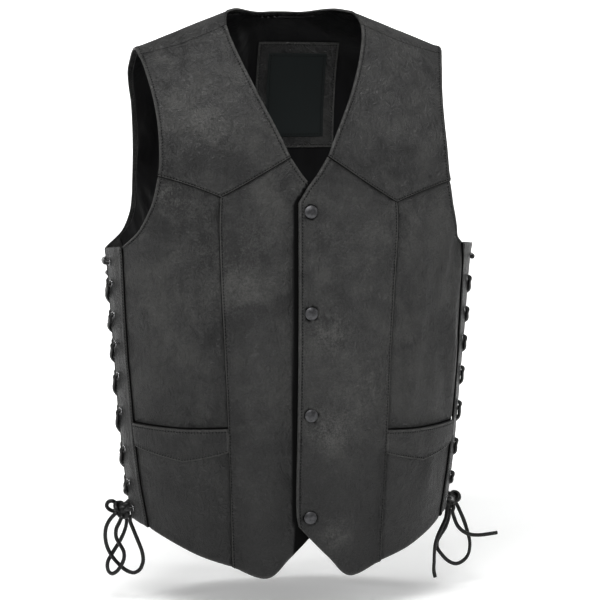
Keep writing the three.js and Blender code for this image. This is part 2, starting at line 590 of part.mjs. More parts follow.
// The bow below the last pair: a knot over the gap, its loops and the two free ends of the lace. Their
// points are measured from the knot's middle: outwards from the vest, back, and up.
const KNOTS = {
  right: { x: 204.5, y: 5, z: -597 },
  left: { x: 207, y: 5, z: -601 },
};
const KNOT_RADIUS = 9.5;
const KNOT_GAP = 0.35;       // from the knot to the bow's loops and ends
const LACE_TO_KNOT = 1.1;    // and to the two ends of the side's lace
const byKnot = ({ name, sign }, [out, y, z]) => {
  const knot = KNOTS[name];
  return new THREE.Vector3(sign * (knot.x + out), knot.y + y, knot.z + z);
};
const BOWS = {
  right: {
    loop_large: [
      [7.5, -5, -3], [16, -3, -11], [21, -1, -21], [22, 1, -35], [19, 3, -48], [14, 3, -58], [7, 2, -67],
      [-3, 0, -76], [-12, -2, -79], [-19, -4, -75], [-23, -5, -65], [-22, -5, -53], [-17, -4, -39],
      [-12, -3, -26], [-8, -3, -15], [-6, -3, -7.5],
    ],
    loop_small: [[6.5, 4, 5], [12, 5, 9], [17, 5, 8.5], [19.5, 5, 4], [17, 5, -0.5], [9, 4, -2.5]],
    loop_long: [
      [3, -6, -8], [6, -8, -15], [10, -9, -23], [10, -9, -33], [6, -9, -41], [1, -9, -51], [1, -9, -60],
      [5, -8.5, -69], [10, -6, -76], [15, -1.5, -79], [18.5, 4, -76], [18.5, 8, -67], [13, 9.5, -57],
      [6, 9.5, -46], [0, 8.5, -35], [-4, 8, -24], [-5, 7, -15], [-3, 5.5, -8],
    ],
  },
  left: {
    loop_large: [
      [6, 3, -6], [12, 3, -16], [18, 3, -30], [22, 2, -43], [25, 1, -57], [23, 0, -71], [17, 0, -79],
      [7, 0, -83], [-3, 0, -79], [-11, 0, -71], [-17, 1, -62], [-17, 2, -54], [-13, 3, -47], [-6, 4, -37],
      [-1.5, 5, -26], [0, 5.5, -16], [0, 5, -9],
    ],
    end_1: [
      [1, -6, -7.5], [0, -8, -15], [2, -10, -24], [6, -11, -33], [13, -12, -40], [22, -12, -44],
      [34, -13, -45], [56, -15, -42.5],
    ],
    end_2: [
      [-5, -4, -7.5], [-7, -6, -15], [-9, -7, -24], [-14, -7, -35], [-19, -7, -46], [-22, -7, -57],
      [-23, -7, -68], [-23, -6, -79], [-23, -5, -89], [-21, -4, -98],
    ],
  },
};

// Half of a side's lace: over the edge and down through the first eyelet of one row, under the far edge, up
// through each next eyelet and over its own edge, down to the last pair and the knot. The rows are 0 at the
// front and 1 at the back.
function laceRoute(side, firstRow) {
  const points = [];
  const edge = (row, z) => (row === 0 ? -stripAt(side, 'edge', z) : BACK_TO_SIDE);
  const inward = (row) => (row === 0 ? 1 : -1);
  const hole = (row, z) => edge(row, z) - EYELET_INSET * inward(row);
  const put = (g, z, height) => points.push(nearSide(side.sign, g, z, height));
  const putAbout = (row, z, steps) => steps.forEach(([towards, down, height]) => {
    put(hole(row, z) + towards * inward(row), z - down, height);
  });
  const [first] = EYELET_HEIGHTS;
  let row = firstRow;
  put(edge(row, first), first, LACE_OVER + 0.6);
  putAbout(row, first, INTO_FIRST);
  EYELET_HEIGHTS.slice(1).forEach((z, i) => {
    const far = 1 - row;
    const left = THREE.MathUtils.lerp(EYELET_HEIGHTS[i], z, SLACK);
    const [near, across] = [edge(row, left), edge(far, z)];
    const heightAt = (g) => THREE.MathUtils.mapLinear(g, near, hole(far, z), left, z);
    const lifted = (i + firstRow) % 2 === 0 ? CROSSING : -CROSSING;
    const middle = (near + across) / 2;
    put(near + inward(row), left, i === 0 ? LACE_UNDER : LACE_OVER);
    put(middle, heightAt(middle), CROSS_HEIGHT + lifted);
    put(across, heightAt(across), LACE_UNDER);
    row = far;
    putAbout(row, z, [...BEFORE_EYELET, ...UP_THROUGH]);
    if (i < EYELET_HEIGHTS.length - 2) putAbout(row, z, AFTER_EYELET);
  });
  putAbout(row, EYELET_HEIGHTS.at(-1), OUT_OF_LAST);
  points.push(byKnot(side, [0, -(KNOT_RADIUS + LACE_TO_KNOT) * inward(row), 1]));
  return points;
}

// The whole lace of a side: its middle runs across the first pair of eyelets, on the outside
function sideLace(side) {
  const [first] = EYELET_HEIGHTS;
  const middle = nearSide(side.sign, (BACK_TO_SIDE - stripAt(side, 'edge', first)) / 2, first, LACE_OVER);
  return [...laceRoute(side, 0).reverse(), middle, ...laceRoute(side, 1)];
}

// A bow's loop or end, with its first points, and a loop's last ones, led straight out of the knot
function bowRoute(side, points) {
  const leave = (point) => [KNOT_RADIUS + KNOT_GAP, KNOT_RADIUS + 3.5].map((reach) => (
    new THREE.Vector3(...point).setLength(reach).toArray()));
  const route = [...leave(points[0]), ...points.slice(1)];
  const loops = new THREE.Vector3(...points.at(-1)).length() < 2 * KNOT_RADIUS;
  const whole = loops ? [...route.slice(0, -1), ...leave(points.at(-1)).reverse()] : route;
  return whole.map((point) => byKnot(side, point));
}

FRONTS.forEach((side) => {
  const { name } = side;
  add(`lace_${name}`, tube(sideLace(side)), LACE_LOOK);
  const middle = byKnot(side, [0, 0, 0]);
  const knot = new THREE.SphereGeometry(KNOT_RADIUS, 12, 7).translate(middle.x, middle.y, middle.z);
  add(`knot_${name}`, knot, LACE_LOOK);
  for (const [part, points] of Object.entries(BOWS[name])) {
    add(`bow_${name}_${part}`, tube(bowRoute(side, points)), LACE_LOOK);
  }
});

export default vest;
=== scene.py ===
"""A laced leather vest, filled out as if worn: its dressed pieces, materials, light and camera."""
import math

import bmesh
import bpy
import numpy as np
from mathutils import Matrix, Vector, noise


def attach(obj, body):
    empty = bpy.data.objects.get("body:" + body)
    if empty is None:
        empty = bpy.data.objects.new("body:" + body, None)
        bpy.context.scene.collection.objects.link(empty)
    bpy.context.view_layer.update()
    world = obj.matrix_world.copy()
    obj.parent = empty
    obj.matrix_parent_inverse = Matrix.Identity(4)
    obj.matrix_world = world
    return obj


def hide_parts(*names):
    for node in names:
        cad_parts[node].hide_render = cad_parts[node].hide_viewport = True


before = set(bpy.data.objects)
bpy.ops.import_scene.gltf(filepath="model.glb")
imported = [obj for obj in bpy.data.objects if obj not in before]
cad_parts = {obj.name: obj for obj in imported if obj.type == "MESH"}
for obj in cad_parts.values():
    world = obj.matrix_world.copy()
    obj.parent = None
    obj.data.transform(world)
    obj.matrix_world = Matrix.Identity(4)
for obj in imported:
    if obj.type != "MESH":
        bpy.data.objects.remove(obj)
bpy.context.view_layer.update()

# Sizes are worked out in millimetres, as in the CAD, and become metres when a mesh is made
MM = 0.001

# Thicknesses and gaps
LEATHER = 1.6
LINING = 0.6
LYING_GAP = 0.5
LINING_DEPTH = 3.8
LINING_INSET = 5
LINING_TO_SIDE = 45

# The closure
LAP = 15
LAP_RISE = 2.2
LAP_FLAT = 38
LAP_END = 75
# Under the lap's edge: how far down, where the edge is, and how wide the band of painted shadow is there
LAP_EDGE = np.array([(168, 24, 0.5), (193, 9, 3.5), (207, -3, 5), (223, -14.5, 6.5), (270, -15, 8.8),
                     (370, -15, 8.4), (480, -16, 7.8), (575, -17, 7), (610, -14, 6)], float)
SNAP_HEIGHTS = (-233, -348.5, -469, -591.5)
SNAP_RADIUS = 7.5
SNAP_DOME = 2.6
SNAP_CROWN = 1.9
SNAP_SEAT = 0.4

# The sides
BACK_TO_SIDE = 22
EYELET_INSET = 13
UNDERARM = -277
EYELET_HEIGHTS = (-294, -319, -357, -392, -430, -473, -519, -560, -592)
HOLE_RADIUS = 2.7

# The figure that the vest is cut for: height, half width, depth to the front and back, squareness, and the
# share of the shoulders' slope
FORM = np.array([
    (0, 226, 0, 0, 2.6, 1),
    (-3.5, 226, 16, 25, 2.7, 1),
    (-14, 226, 32, 50, 2.9, 1),
    (-36, 227, 52, 78, 3.2, 0.98),
    (-75, 229, 78, 99, 3.4, 0.9),
    (-125, 231, 102, 113, 3.4, 0.7),
    (-180, 231, 117, 119, 3.1, 0.38),
    (-240, 227, 124, 119, 2.5, 0.1),
    (-300, 223, 126, 115, 2.1, 0),
    (-370, 218.5, 126, 111, 2, 0),
    (-440, 213, 126, 110, 2, 0),
    (-510, 207.5, 124, 111, 2, 0),
    (-580, 199.5, 121, 113, 2, 0),
    (-640, 189, 118, 115, 2, 0),
    (-700, 180, 115, 116, 2, 0),
], float)
HEIGHT, HALF, FRONT_DEPTH, BACK_DEPTH, SQUARE, SLOPE = range(6)
FOOT = len(FORM) - 1
SHOULDER_SLOPE = math.tan(math.radians(21.5))
NECK_SIDE = 82
NECK_RISE = 30
NECK_SOFTNESS = 9

# Soft folds: u round from the middle of the front, z, length, width, height, and the lean of the top.
# The first eight are in the CAD too, and the rest are finer ones that only the dressed leather has.
FOLDS = np.array([
    (138, -380, 150, 13, 2.6, 14),
    (178, -345, 105, 11, -2.2, 8),
    (205, -400, 130, 12, 2.2, -6),
    (160, -560, 70, 12, 1.8, 10),
    (-200, -318, 45, 10, -2.0, 16),
    (-120, -125, 60, 13, 1.6, 26),
    (-60, -440, 90, 16, 1.2, -8),
    (60, -330, 90, 16, 1.4, 8),
], float)
CREASES = np.array([
    (-150, -150, 70, 5, 0.9, 34),
    (-128, -95, 90, 7, 0.9, 40),
    (-140, -172, 46, 5, -0.8, 30),
    (-185, -300, 60, 4, 0.9, 14),
    (-190, -330, 50, 4, -0.8, 18),
    (-170, -290, 70, 5, 0.7, 20),
    (120, -300, 120, 5, 0.8, 6),
    (150, -330, 110, 5, 0.9, 12),
    (166, -300, 90, 4, 0.8, 14),
    (190, -330, 80, 5, -0.8, 4),
    (172, -430, 90, 6, 0.8, -4),
    (150, -120, 60, 6, 0.8, -26),
    (128, -170, 60, 5, 0.6, -24),
    (-150, -400, 120, 7, 0.6, 8),
    (-130, -560, 80, 7, 0.6, -8),
    (-40, -300, 90, 7, 0.5, 10),
    (50, -560, 90, 8, 0.5, -10),
    (214, -305, 90, 4.5, 1.8, 5),
    (200, -315, 120, 6, -2.0, 8),
    (184, -300, 110, 6.5, 2.0, 12),
    (163, -350, 160, 8, -1.7, 10),
    (141, -390, 150, 8, 1.4, 12),
    (208, -410, 110, 6, 1.6, -6),
    (193, -440, 110, 6, -1.6, -8),
], float)

# Places where the leather has rubbed lighter: u, z, radius, strength
WORN = np.array([
    (22, -372, 26, 1.0), (24, -492, 24, 0.9), (30, -612, 26, 0.8), (40, -470, 60, 0.35), (16, -262, 22, 0.5),
    (-60, -250, 34, 0.55), (-95, -300, 40, 0.5), (-150, -215, 26, 0.7), (-168, -196, 18, 0.8),
    (-120, -110, 26, 0.7), (-150, -75, 22, 0.45), (-105, -150, 30, 0.6), (-70, -330, 34, 0.45),
    (-130, -260, 30, 0.45), (120, -240, 26, 0.45), (70, -260, 40, 0.35), (178, -470, 14, 0.7),
    (-75, -460, 44, 0.3), (-60, -560, 40, 0.3), (70, -420, 50, 0.3), (150, -500, 30, 0.35),
], float)


def section(level):
    """The sections at some levels, by Catmull-Rom, mirrored in depth across the shoulder line."""
    level = np.clip(np.abs(np.asarray(level, float)), 0, FOOT - 1e-6)
    row = np.floor(level).astype(int)
    t = (level - row)[..., None]
    mirror = FORM[1] * (1, 1, -1, -1, 1, 1)
    rows = np.vstack([mirror, FORM])
    a, b, c, d = rows[row], rows[row + 1], rows[row + 2], rows[np.minimum(row + 3, FOOT + 1)]
    square, cubic = 2 * a - 5 * b + 4 * c - d, 3 * b - a - 3 * c + d
    return 0.5 * (2 * b + (c - a) * t + square * t ** 2 + cubic * t ** 3)


LEVELS = np.linspace(0, FOOT, 1401)
LEVEL_HEIGHTS = section(LEVELS)[:, HEIGHT]


def level_at(z):
    """The level of a height on the neck side, where the shoulders' slope counts nothing."""
    return np.interp(-np.asarray(z, float), -LEVEL_HEIGHTS, LEVELS)


def shoulder_rise(x):
    """How far the full slope lifts or drops a point at x."""
    slope = SHOULDER_SLOPE * (np.abs(x) - NECK_SIDE)
    rest = math.exp(-NECK_RISE / NECK_SOFTNESS)
    return -NECK_SOFTNESS * np.log((np.exp(slope / NECK_SOFTNESS) + rest) / (1 + rest))


QUARTER_STEPS = 60
TURNS = np.linspace(0, math.pi, 2 * QUARTER_STEPS + 1)


def half_rings(level, on_back):
    """Half of each level section, from the middle of one face round the side: x, depth and running length."""
    s = section(level)
    power = (2 / s[:, SQUARE])[:, None]
    own = np.where(on_back, s[:, BACK_DEPTH], s[:, FRONT_DEPTH])[:, None]
    other = np.where(on_back, s[:, FRONT_DEPTH], s[:, BACK_DEPTH])[:, None]
    cos = np.cos(TURNS)
    x = s[:, HALF][:, None] * np.clip(np.sin(TURNS), 0, 1) ** power
    y = np.where(cos > 1e-12, own, other) * np.sign(cos) * np.abs(cos) ** power
    steps = np.hypot(np.diff(x, axis=1), np.diff(y, axis=1))
    run = np.concatenate([np.zeros((len(s), 1)), np.cumsum(steps, axis=1)], axis=1)
    return s, x, y, run


def bare_form(u, station):
    """Points of the figure. u runs round from the middle, and a station is a level, negative on the back."""
    u, station = np.broadcast_arrays(np.asarray(u, float), np.asarray(station, float))
    shape = u.shape
    u, station = u.ravel(), station.ravel()
    on_back = station < 0
    s, x, y, run = half_rings(station, on_back)
    wanted = np.minimum(np.abs(u), run[:, -1] - 1e-6)
    i = np.clip((run < wanted[:, None]).sum(axis=1), 1, run.shape[1] - 1)
    rows = np.arange(len(u))
    t = (wanted - run[rows, i - 1]) / (run[rows, i] - run[rows, i - 1])
    px = x[rows, i - 1] * (1 - t) + x[rows, i] * t
    py = y[rows, i - 1] * (1 - t) + y[rows, i] * t
    z = s[:, HEIGHT] + s[:, SLOPE] * shoulder_rise(px)
    points = np.stack([np.where(u < 0, -px, px), np.where(on_back, py, -py), z], axis=-1)
    return points.reshape(*shape, 3)


def normals_at(u, station):
    """The figure's outward directions."""
    du, ds = 1.5, 0.02
    along_u = bare_form(u + du, station) - bare_form(u - du, station)
    along_station = bare_form(u, station + ds) - bare_form(u, station - ds)
    out = np.cross(along_station, along_u)
    return out / np.linalg.norm(out, axis=-1, keepdims=True)


def bumps(table, u, station):
    """The sum of a table's soft folds at some places on the fronts."""
    z = section(station)[..., HEIGHT]
    total = np.zeros(np.shape(u))
    for middle, height, long, wide, high, lean in table:
        along = (z - height) / (long / 2)
        across = (u - middle - lean * along / 2) / wide
        total += high * np.exp(-across ** 2 - along ** 2)
    return np.where(np.asarray(station) < 0, 0, total)


def on_vest(u, station, height=0):
    """Points at a height above the vest's outer surface, its large folds included."""
    u, station = np.asarray(u, float), np.asarray(station, float)
    lift = height + bumps(FOLDS, u, station)
    return bare_form(u, station) + normals_at(u, station) * np.asarray(lift)[..., None]


def front(u, z):
    return (float(u), float(level_at(z)))


def back(u, z):
    return (float(u), -float(level_at(z)))


def side_run(z, on_back=False):
    """Round from the middle of a face to the vest's side."""
    level = np.atleast_1d(level_at(z)).astype(float)
    run = half_rings(level, np.full(level.shape, on_back))[3][:, QUARTER_STEPS]
    return float(run[0]) if np.ndim(z) == 0 else run


def smooth(value, low, high):
    """0 below low, 1 above high, eased between them."""
    t = np.clip((value - low) / (high - low), 0, 1)
    return t * t * (3 - 2 * t)


def lap_height(u, sign):
    return sign * LAP_RISE * (1 - smooth(np.abs(u), LAP_FLAT, LAP_END))


# The camera, at the photograph's place
VIEW_YAW = math.radians(12)
VIEW_PITCH = math.radians(6.5)
VIEW_DISTANCE = 3.0
VIEW_AIM = (0.0132, -0.3444)
VIEW_LENS = 150


def set_camera():
    across = Vector((math.cos(VIEW_YAW), -math.sin(VIEW_YAW), 0))
    level = Vector((math.sin(VIEW_YAW), math.cos(VIEW_YAW), 0))
    ahead = level * math.cos(VIEW_PITCH) - Vector((0, 0, math.sin(VIEW_PITCH)))
    up = level * math.sin(VIEW_PITCH) + Vector((0, 0, math.cos(VIEW_PITCH)))
    eye = across * VIEW_AIM[0] + up * VIEW_AIM[1] - ahead * VIEW_DISTANCE
    data = bpy.data.cameras.new("camera")
    data.lens = VIEW_LENS
    data.sensor_width = 36
    camera = bpy.data.objects.new("camera", data)
    camera.matrix_world = Matrix.Translation(eye) @ Matrix((across, up, -ahead)).transposed().to_4x4()
    bpy.context.scene.collection.objects.link(camera)
    bpy.context.scene.camera = camera


set_camera()


# Materials
class Wire:
    """What runs through a material's nodes. Sums and products of wires add their Math nodes."""

    def __init__(self, recipe, socket):
        self.recipe = recipe
        self.socket = socket

    def math(self, operation, first, second):
        return self.recipe.node("ShaderNodeMath", {"operation": operation}, {0: first, 1: second})

    def __add__(self, other):
        return self.math("ADD", self, other)

    def __radd__(self, other):
        return self.math("ADD", other, self)

    def __sub__(self, other):
        return self.math("SUBTRACT", self, other)

    def __rsub__(self, other):
        return self.math("SUBTRACT", other, self)

    def __mul__(self, other):
        return self.math("MULTIPLY", self, other)

    def __rmul__(self, other):
        return self.math("MULTIPLY", other, self)

    def __pow__(self, other):
        return self.math("POWER", self, other)

    def size(self):
        return self.math("ABSOLUTE", self, 0)

    def ramp(self, *stops):
        """Eases through (place, value) stops."""
        return self.recipe.node("ShaderNodeValToRGB", {"stops": stops}, {"Fac": self})


class Recipe:
    """A material, built up node by node."""

    def __init__(self, name):
        self.material = bpy.data.materials.new(name)
        self.material.use_nodes = True
        self.tree = self.material.node_tree
        self.tree.nodes.clear()
        self.place = self.node("ShaderNodeTexCoord", out="Object")

    def node(self, kind, settings=None, inputs=None, out=0):
        node = self.tree.nodes.new(kind)
        for key, value in (settings or {}).items():
            if key == "stops":
                self.set_stops(node.color_ramp, value)
            else:
                setattr(node, key, value)
        for key, value in (inputs or {}).items():
            if isinstance(value, Wire):
                self.tree.links.new(value.socket, node.inputs[key])
            else:
                node.inputs[key].default_value = value
        return Wire(self, node.outputs[out])

    @staticmethod
    def set_stops(ramp, stops):
        ramp.interpolation = "EASE"
        while len(ramp.elements) < len(stops):
            ramp.elements.new(0.5)
        for element, (place, value) in zip(ramp.elements, stops):
            element.position = place
            element.color = (*value, 1) if np.ndim(value) else (value, value, value, 1)

    def noise(self, per_metre, detail=3, roughness=0.55, distortion=0, vector=None):
        sizes = {"Scale": per_metre, "Detail": detail, "Roughness": roughness, "Distortion": distortion}
        return self.node("ShaderNodeTexNoise", {}, {"Vector": vector or self.place, **sizes})

    def cells(self, per_metre, vector=None):
        inputs = {"Vector": vector or self.place, "Scale": per_metre}
        return self.node("ShaderNodeTexVoronoi", {"feature": "F1"}, inputs)

    def stretched(self, x, y, z):
        return self.node("ShaderNodeMapping", {}, {"Vector": self.place, "Scale": (x, y, z)})

    def attribute(self, name):
        return self.node("ShaderNodeAttribute", {"attribute_name": name}, out="Fac")

    def mix(self, factor, first, second):
        """A colour between two colours, given as wires or (r, g, b)."""
        first, second = (c if isinstance(c, Wire) else (*c, 1) for c in (first, second))
        inputs = {0: factor, 6: first, 7: second}
        return self.node("ShaderNodeMix", {"data_type": "RGBA", "clamp_factor": True}, inputs, out=2)

    def bump(self, height, depth_mm, strength=1, normal=None):
        inputs = {"Height": height, "Distance": depth_mm * MM, "Strength": strength}
        if normal:
            inputs["Normal"] = normal
        return self.node("ShaderNodeBump", {}, inputs)

    def finish(self, color, roughness, normal=None, metallic=0, painted_shade_mix=None, **fixed):
        inputs = {"Base Color": color if isinstance(color, Wire) else (*color, 1), "Roughness": roughness}
        inputs |= {"Metallic": metallic, **fixed}
        if normal:
            inputs["Normal"] = normal
        shader = self.node("ShaderNodeBsdfPrincipled", {}, inputs)
        # Painted shade: by this mask a near-black shader is mixed over the finish
        if painted_shade_mix:
            dark = {"Base Color": (0.003, 0.003, 0.003, 1), "Roughness": 0.9, "Specular IOR Level": 0.02}
            shade = self.node("ShaderNodeBsdfPrincipled", {}, dark)
            shader = self.node("ShaderNodeMixShader", {}, {0: painted_shade_mix, 1: shader, 2: shade})
        self.node_output(shader)
        return self.material

    def node_output(self, shader):
        output = self.tree.nodes.new("ShaderNodeOutputMaterial")
        self.tree.links.new(shader.socket, output.inputs["Surface"])


LEATHER_DARK = (0.0080, 0.0080, 0.0080)
LEATHER_MID = (0.0215, 0.0215, 0.0210)
LEATHER_LIGHT = (0.0420, 0.0418, 0.0405)
# The leather's colour darkens towards the hem, a painted shade for light from above falling off: it starts
# 0.32 m below the shoulders and is full 0.33 m further down
LEATHER_PAINTED_HEM_SHADE = (0.0045, 0.0045, 0.0045)
HEM_SHADE_RISE = 3.0
HEM_SHADE_START = 0.95
HEM_SHADE_SHARE = 0.85
SWELL_DEPTH = 12.0
GRAIN_DEPTH = 0.95
PUCKER_MIDDLE = 1.4
PUCKER_REACH = 2.4
LEATHER_OLIVE = (0.0240, 0.0238, 0.0205)
# Rubbed wear, and the painted highlight along the edges
LEATHER_RUBBED_AND_HIGHLIGHT = (0.066, 0.0655, 0.062)
# Painted shade: the near-black colour of the seams, the band under the lap, the rings round the snaps and the
# stitch channels
LEATHER_PAINTED_SHADE = (0.004, 0.004, 0.004)
STITCH_CHANNEL = 1.0
STITCH_PITCH = 3.6


def leather_finish(name, shade=1.0):
    """Soft cowhide: mottled, rubbed lighter in places, lighter along the edges from wear and a painted
    highlight, with painted shade in the seams, under the lap, round the snaps, in the stitch channels and
    towards the hem.
    """
    r = Recipe(name)
    clouds = r.noise(10, 3, 0.55, 0.8)
    mottle = r.noise(48, 4, 0.62, 0.6)
    speckle = r.noise(420, 3, 0.75)
    fine = r.noise(900, 2, 0.6)
    grain = r.cells(470)
    swells = r.noise(26, 3, 0.5, 1.0, r.stretched(1, 1, 0.7))
    wrinkles = (r.noise(75, 4, 0.6, 1.4, r.stretched(1, 1, 0.6)) - 0.5).size()
    hairlines = (r.noise(190, 3, 0.6, 1.8, r.stretched(1, 1, 1.5)) - 0.5).size()
    rubbed = r.attribute("worn")
    # Painted shade: the mesh's mask for the seams, the band under the lap and the rings round the snaps
    crevice = r.attribute("crevice").ramp((0, 0), (1, 1))
    rim = r.attribute("rim")
    past_stitch = r.attribute("stitch")
    stitch = past_stitch.size()
    waves = r.attribute("run") * (2 * math.pi / STITCH_PITCH)
    by_row = (PUCKER_REACH - (past_stitch - PUCKER_MIDDLE).size()).ramp((0, 0), (0.9, 1))
    puckers = waves.math("SINE", waves, 0) * by_row * clouds
    tone = clouds * 0.34 + mottle * 0.3 + speckle * 0.26 + fine * 0.1
    tones = (LEATHER_DARK, LEATHER_MID, LEATHER_LIGHT)
    dark, mid, light = (tuple(shade * c for c in color) for color in tones)
    color = tone.ramp((0.43, dark), (0.505, mid), (0.58, light))
    color = r.mix((clouds * 0.5 + mottle * 0.5).ramp((0.48, 0), (0.6, 0.25)), color, LEATHER_OLIVE)
    # Painted shade: darker with falling height towards the hem
    up = Wire(r, r.node("ShaderNodeSeparateXYZ", {}, {0: r.place}).socket.node.outputs["Z"])
    low = (up * -HEM_SHADE_RISE - HEM_SHADE_START).ramp((0, 0), (1, HEM_SHADE_SHARE))
    color = r.mix(low, color, LEATHER_PAINTED_HEM_SHADE)
    patchy = clouds * 0.8 + mottle * 1.2 + speckle * 1.8 + fine * 1.2 - 2.15
    rub = (rubbed * patchy).ramp((0.0, 0), (0.75, 1))
    color = r.mix(rub, color, LEATHER_RUBBED_AND_HIGHLIGHT)
    # Lighter along free and folded edges: partly wear, partly a painted highlight on the raised edge
    edge_wear_and_highlight = (1.8 - (rim - 1.3).size()).ramp((0.0, 0), (1.0, 0.5)) * (speckle * 1.8 - 0.2)
    color = r.mix(edge_wear_and_highlight, color, LEATHER_RUBBED_AND_HIGHLIGHT)
    channel_dip_and_shade = (STITCH_CHANNEL - stitch).ramp((0, 0), (1, 1))
    # Painted shade in the stitch channels
    color = r.mix(channel_dip_and_shade * 0.12, color, LEATHER_PAINTED_SHADE)
    # Painted shade: the colour goes near black by that mask, and the finish mixes in a near-black shader by
    # it too
    color = r.mix(crevice, color, LEATHER_PAINTED_SHADE)
    roughness = 0.33 + mottle * 0.2 + crevice * 0.3 - rub * 0.04
    folds = wrinkles.ramp((0, 0), (0.16, 1)) * 1.0 + hairlines.ramp((0, 0), (0.09, 1)) * 0.5
    relief = grain * 0.6 + speckle * 0.7 + fine * 0.25 + folds * 1.3
    normal = r.bump(swells, SWELL_DEPTH, 0.9)
    normal = r.bump(relief, GRAIN_DEPTH, 0.95, normal)
    normal = r.bump(puckers - channel_dip_and_shade * 0.8, 0.4, 0.9, normal)
    return r.finish(color, roughness, normal, painted_shade_mix=crevice, **{"Specular IOR Level": 0.38})


def lining_finish():
    """Black satin with soft creases."""
    r = Recipe("satin_lining")
    folds = r.noise(26, 3, 0.5, 1.0, r.stretched(1.2, 1.2, 0.3))
    weave = r.noise(2600, 1)
    color = r.mix(folds, (0.0015, 0.0015, 0.0017), (0.006, 0.006, 0.0065))
    normal = r.bump(weave, 0.04, 0.5, r.bump(folds, 5, 0.7))
    return r.finish(color, 0.36 + folds * 0.14, normal, **{"Specular IOR Level": 0.16})


def woven_finish():
    """A plain, dark damask label."""
    r = Recipe("woven_label")
    place = r.node("ShaderNodeSeparateXYZ", {}, {0: r.place})
    across = Wire(r, place.socket.node.outputs["X"])
    up = Wire(r, place.socket.node.outputs["Z"])
    threads = (across * 5200).math("SINE", across * 5200, 0) * (up * 4200).math("SINE", up * 4200, 0)
    color = r.mix(threads * 0.5 + r.noise(500) * 0.5, (0.0045, 0.0065, 0.0065), (0.010, 0.0130, 0.0130))
    return r.finish(color, 0.62, r.bump(threads, 0.06, 0.6), **{"Specular IOR Level": 0.2})


def lace_finish():
    """Flat black leather lace with a fine grain."""
    r = Recipe("lace_leather")
    worn = r.noise(120, 4, 0.6)
    pores = r.cells(1500)
    color = worn.ramp((0.35, (0.0015, 0.0015, 0.0015)), (0.7, (0.0055, 0.0055, 0.0055)))
    normal = r.bump(pores + worn, 0.15, 0.6)
    return r.finish(color, 0.27 + worn * 0.12, normal, **{"Specular IOR Level": 0.28})


def thread_finish():
    r = Recipe("waxed_thread")
    twist = r.noise(1800, 1)
    color = r.mix(twist, (0.002, 0.002, 0.002), (0.006, 0.006, 0.006))
    return r.finish(color, 0.8, r.bump(twist, 0.1, 0.6), **{"Specular IOR Level": 0.08})


def metal_finish(name, tone, roughness, wear):
    """Plated metal with fine scuffs and a little tarnish."""
    r = Recipe(name)
    scuffs = r.noise(900, 4, 0.7, 0, r.stretched(1, 1, 0.2))
    tarnish = r.noise(240, 3, 0.6)
    dark = tuple(0.6 * c for c in tone)
    color = r.mix(tarnish.ramp((0.35, 0), (0.65, 1)), dark, tone)
    return r.finish(color, roughness + scuffs * wear, r.bump(scuffs, 0.03, 0.4), 1.0)


BODY_LEATHER = leather_finish("body_leather")
TRIM_LEATHER = leather_finish("trim_leather", 0.85)
LINING_SATIN = lining_finish()
LABEL_LEATHER = leather_finish("label_leather", 0.5)
LABEL_WEAVE = woven_finish()
LACE_LEATHER = lace_finish()
THREAD = thread_finish()
SNAP_METAL = metal_finish("gunmetal", (0.085, 0.085, 0.089), 0.4, 0.1)
EYELET_METAL = metal_finish("dark_nickel", (0.34, 0.34, 0.345), 0.16, 0.12)


# Meshes
def link(name, data, *materials):
    """A new object at the origin, with its materials."""
    thing = bpy.data.objects.new(name, data)
    bpy.context.scene.collection.objects.link(thing)
    for material in materials:
        data.materials.append(material)
    return thing


def mesh_from(name, points, faces, material, attributes=None):
    """A smooth mesh from points in millimetres, with its faces turned outwards."""
    points = np.asarray(points, float) * MM
    a, b, c = (points[[face[i] for face in faces]] for i in (0, 1, 2))
    quads = [face for face in faces if len(face) == 4]
    volume = np.einsum("ij,ij->i", a, np.cross(b, c)).sum()
    if quads:
        a, c, d = (points[[face[i] for face in quads]] for i in (0, 2, 3))
        volume += np.einsum("ij,ij->i", a, np.cross(c, d)).sum()
    if volume < 0:
        faces = [tuple(reversed(face)) for face in faces]
    mesh = bpy.data.meshes.new(name)
    mesh.from_pydata(points.tolist(), [], faces)
    for key, values in (attributes or {}).items():
        attribute = mesh.attributes.new(key, "FLOAT", "POINT")
        attribute.data.foreach_set("value", np.asarray(values, np.float32).ravel())
    mesh.polygons.foreach_set("use_smooth", [True] * len(mesh.polygons))
    mesh.update()
    return link(name, mesh, material)


def wall_faces(rows, columns):
    """The faces of a closed wall: two layers of a grid and the rim between them."""
    def at(layer, row, column):
        return (layer * rows + row) * columns + column

    faces = []
    for row in range(rows - 1):
        for column in range(columns - 1):
            corners = ((row, column), (row, column + 1), (row + 1, column + 1), (row + 1, column))
            outer = [at(0, *corner) for corner in corners]
            inner = [at(1, *corner) for corner in corners]
            faces.append(tuple(outer))
            faces.append((inner[0], inner[3], inner[2], inner[1]))
    for column in range(columns - 1):
        last = rows - 1
        faces.append((at(0, 0, column + 1), at(0, 0, column), at(1, 0, column), at(1, 0, column + 1)))
        faces.append((at(0, last, column), at(0, last, column + 1), at(1, last, column + 1),
                      at(1, last, column)))
    for row in range(rows - 1):
        last = columns - 1
        faces.append((at(0, row, 0), at(0, row + 1, 0), at(1, row + 1, 0), at(1, row, 0)))
        faces.append((at(0, row + 1, last), at(0, row, last), at(1, row, last), at(1, row + 1, last)))
    return faces


def sharp_rims(thing, degrees=50):
    thing.data.set_sharp_from_angle(angle=math.radians(degrees))


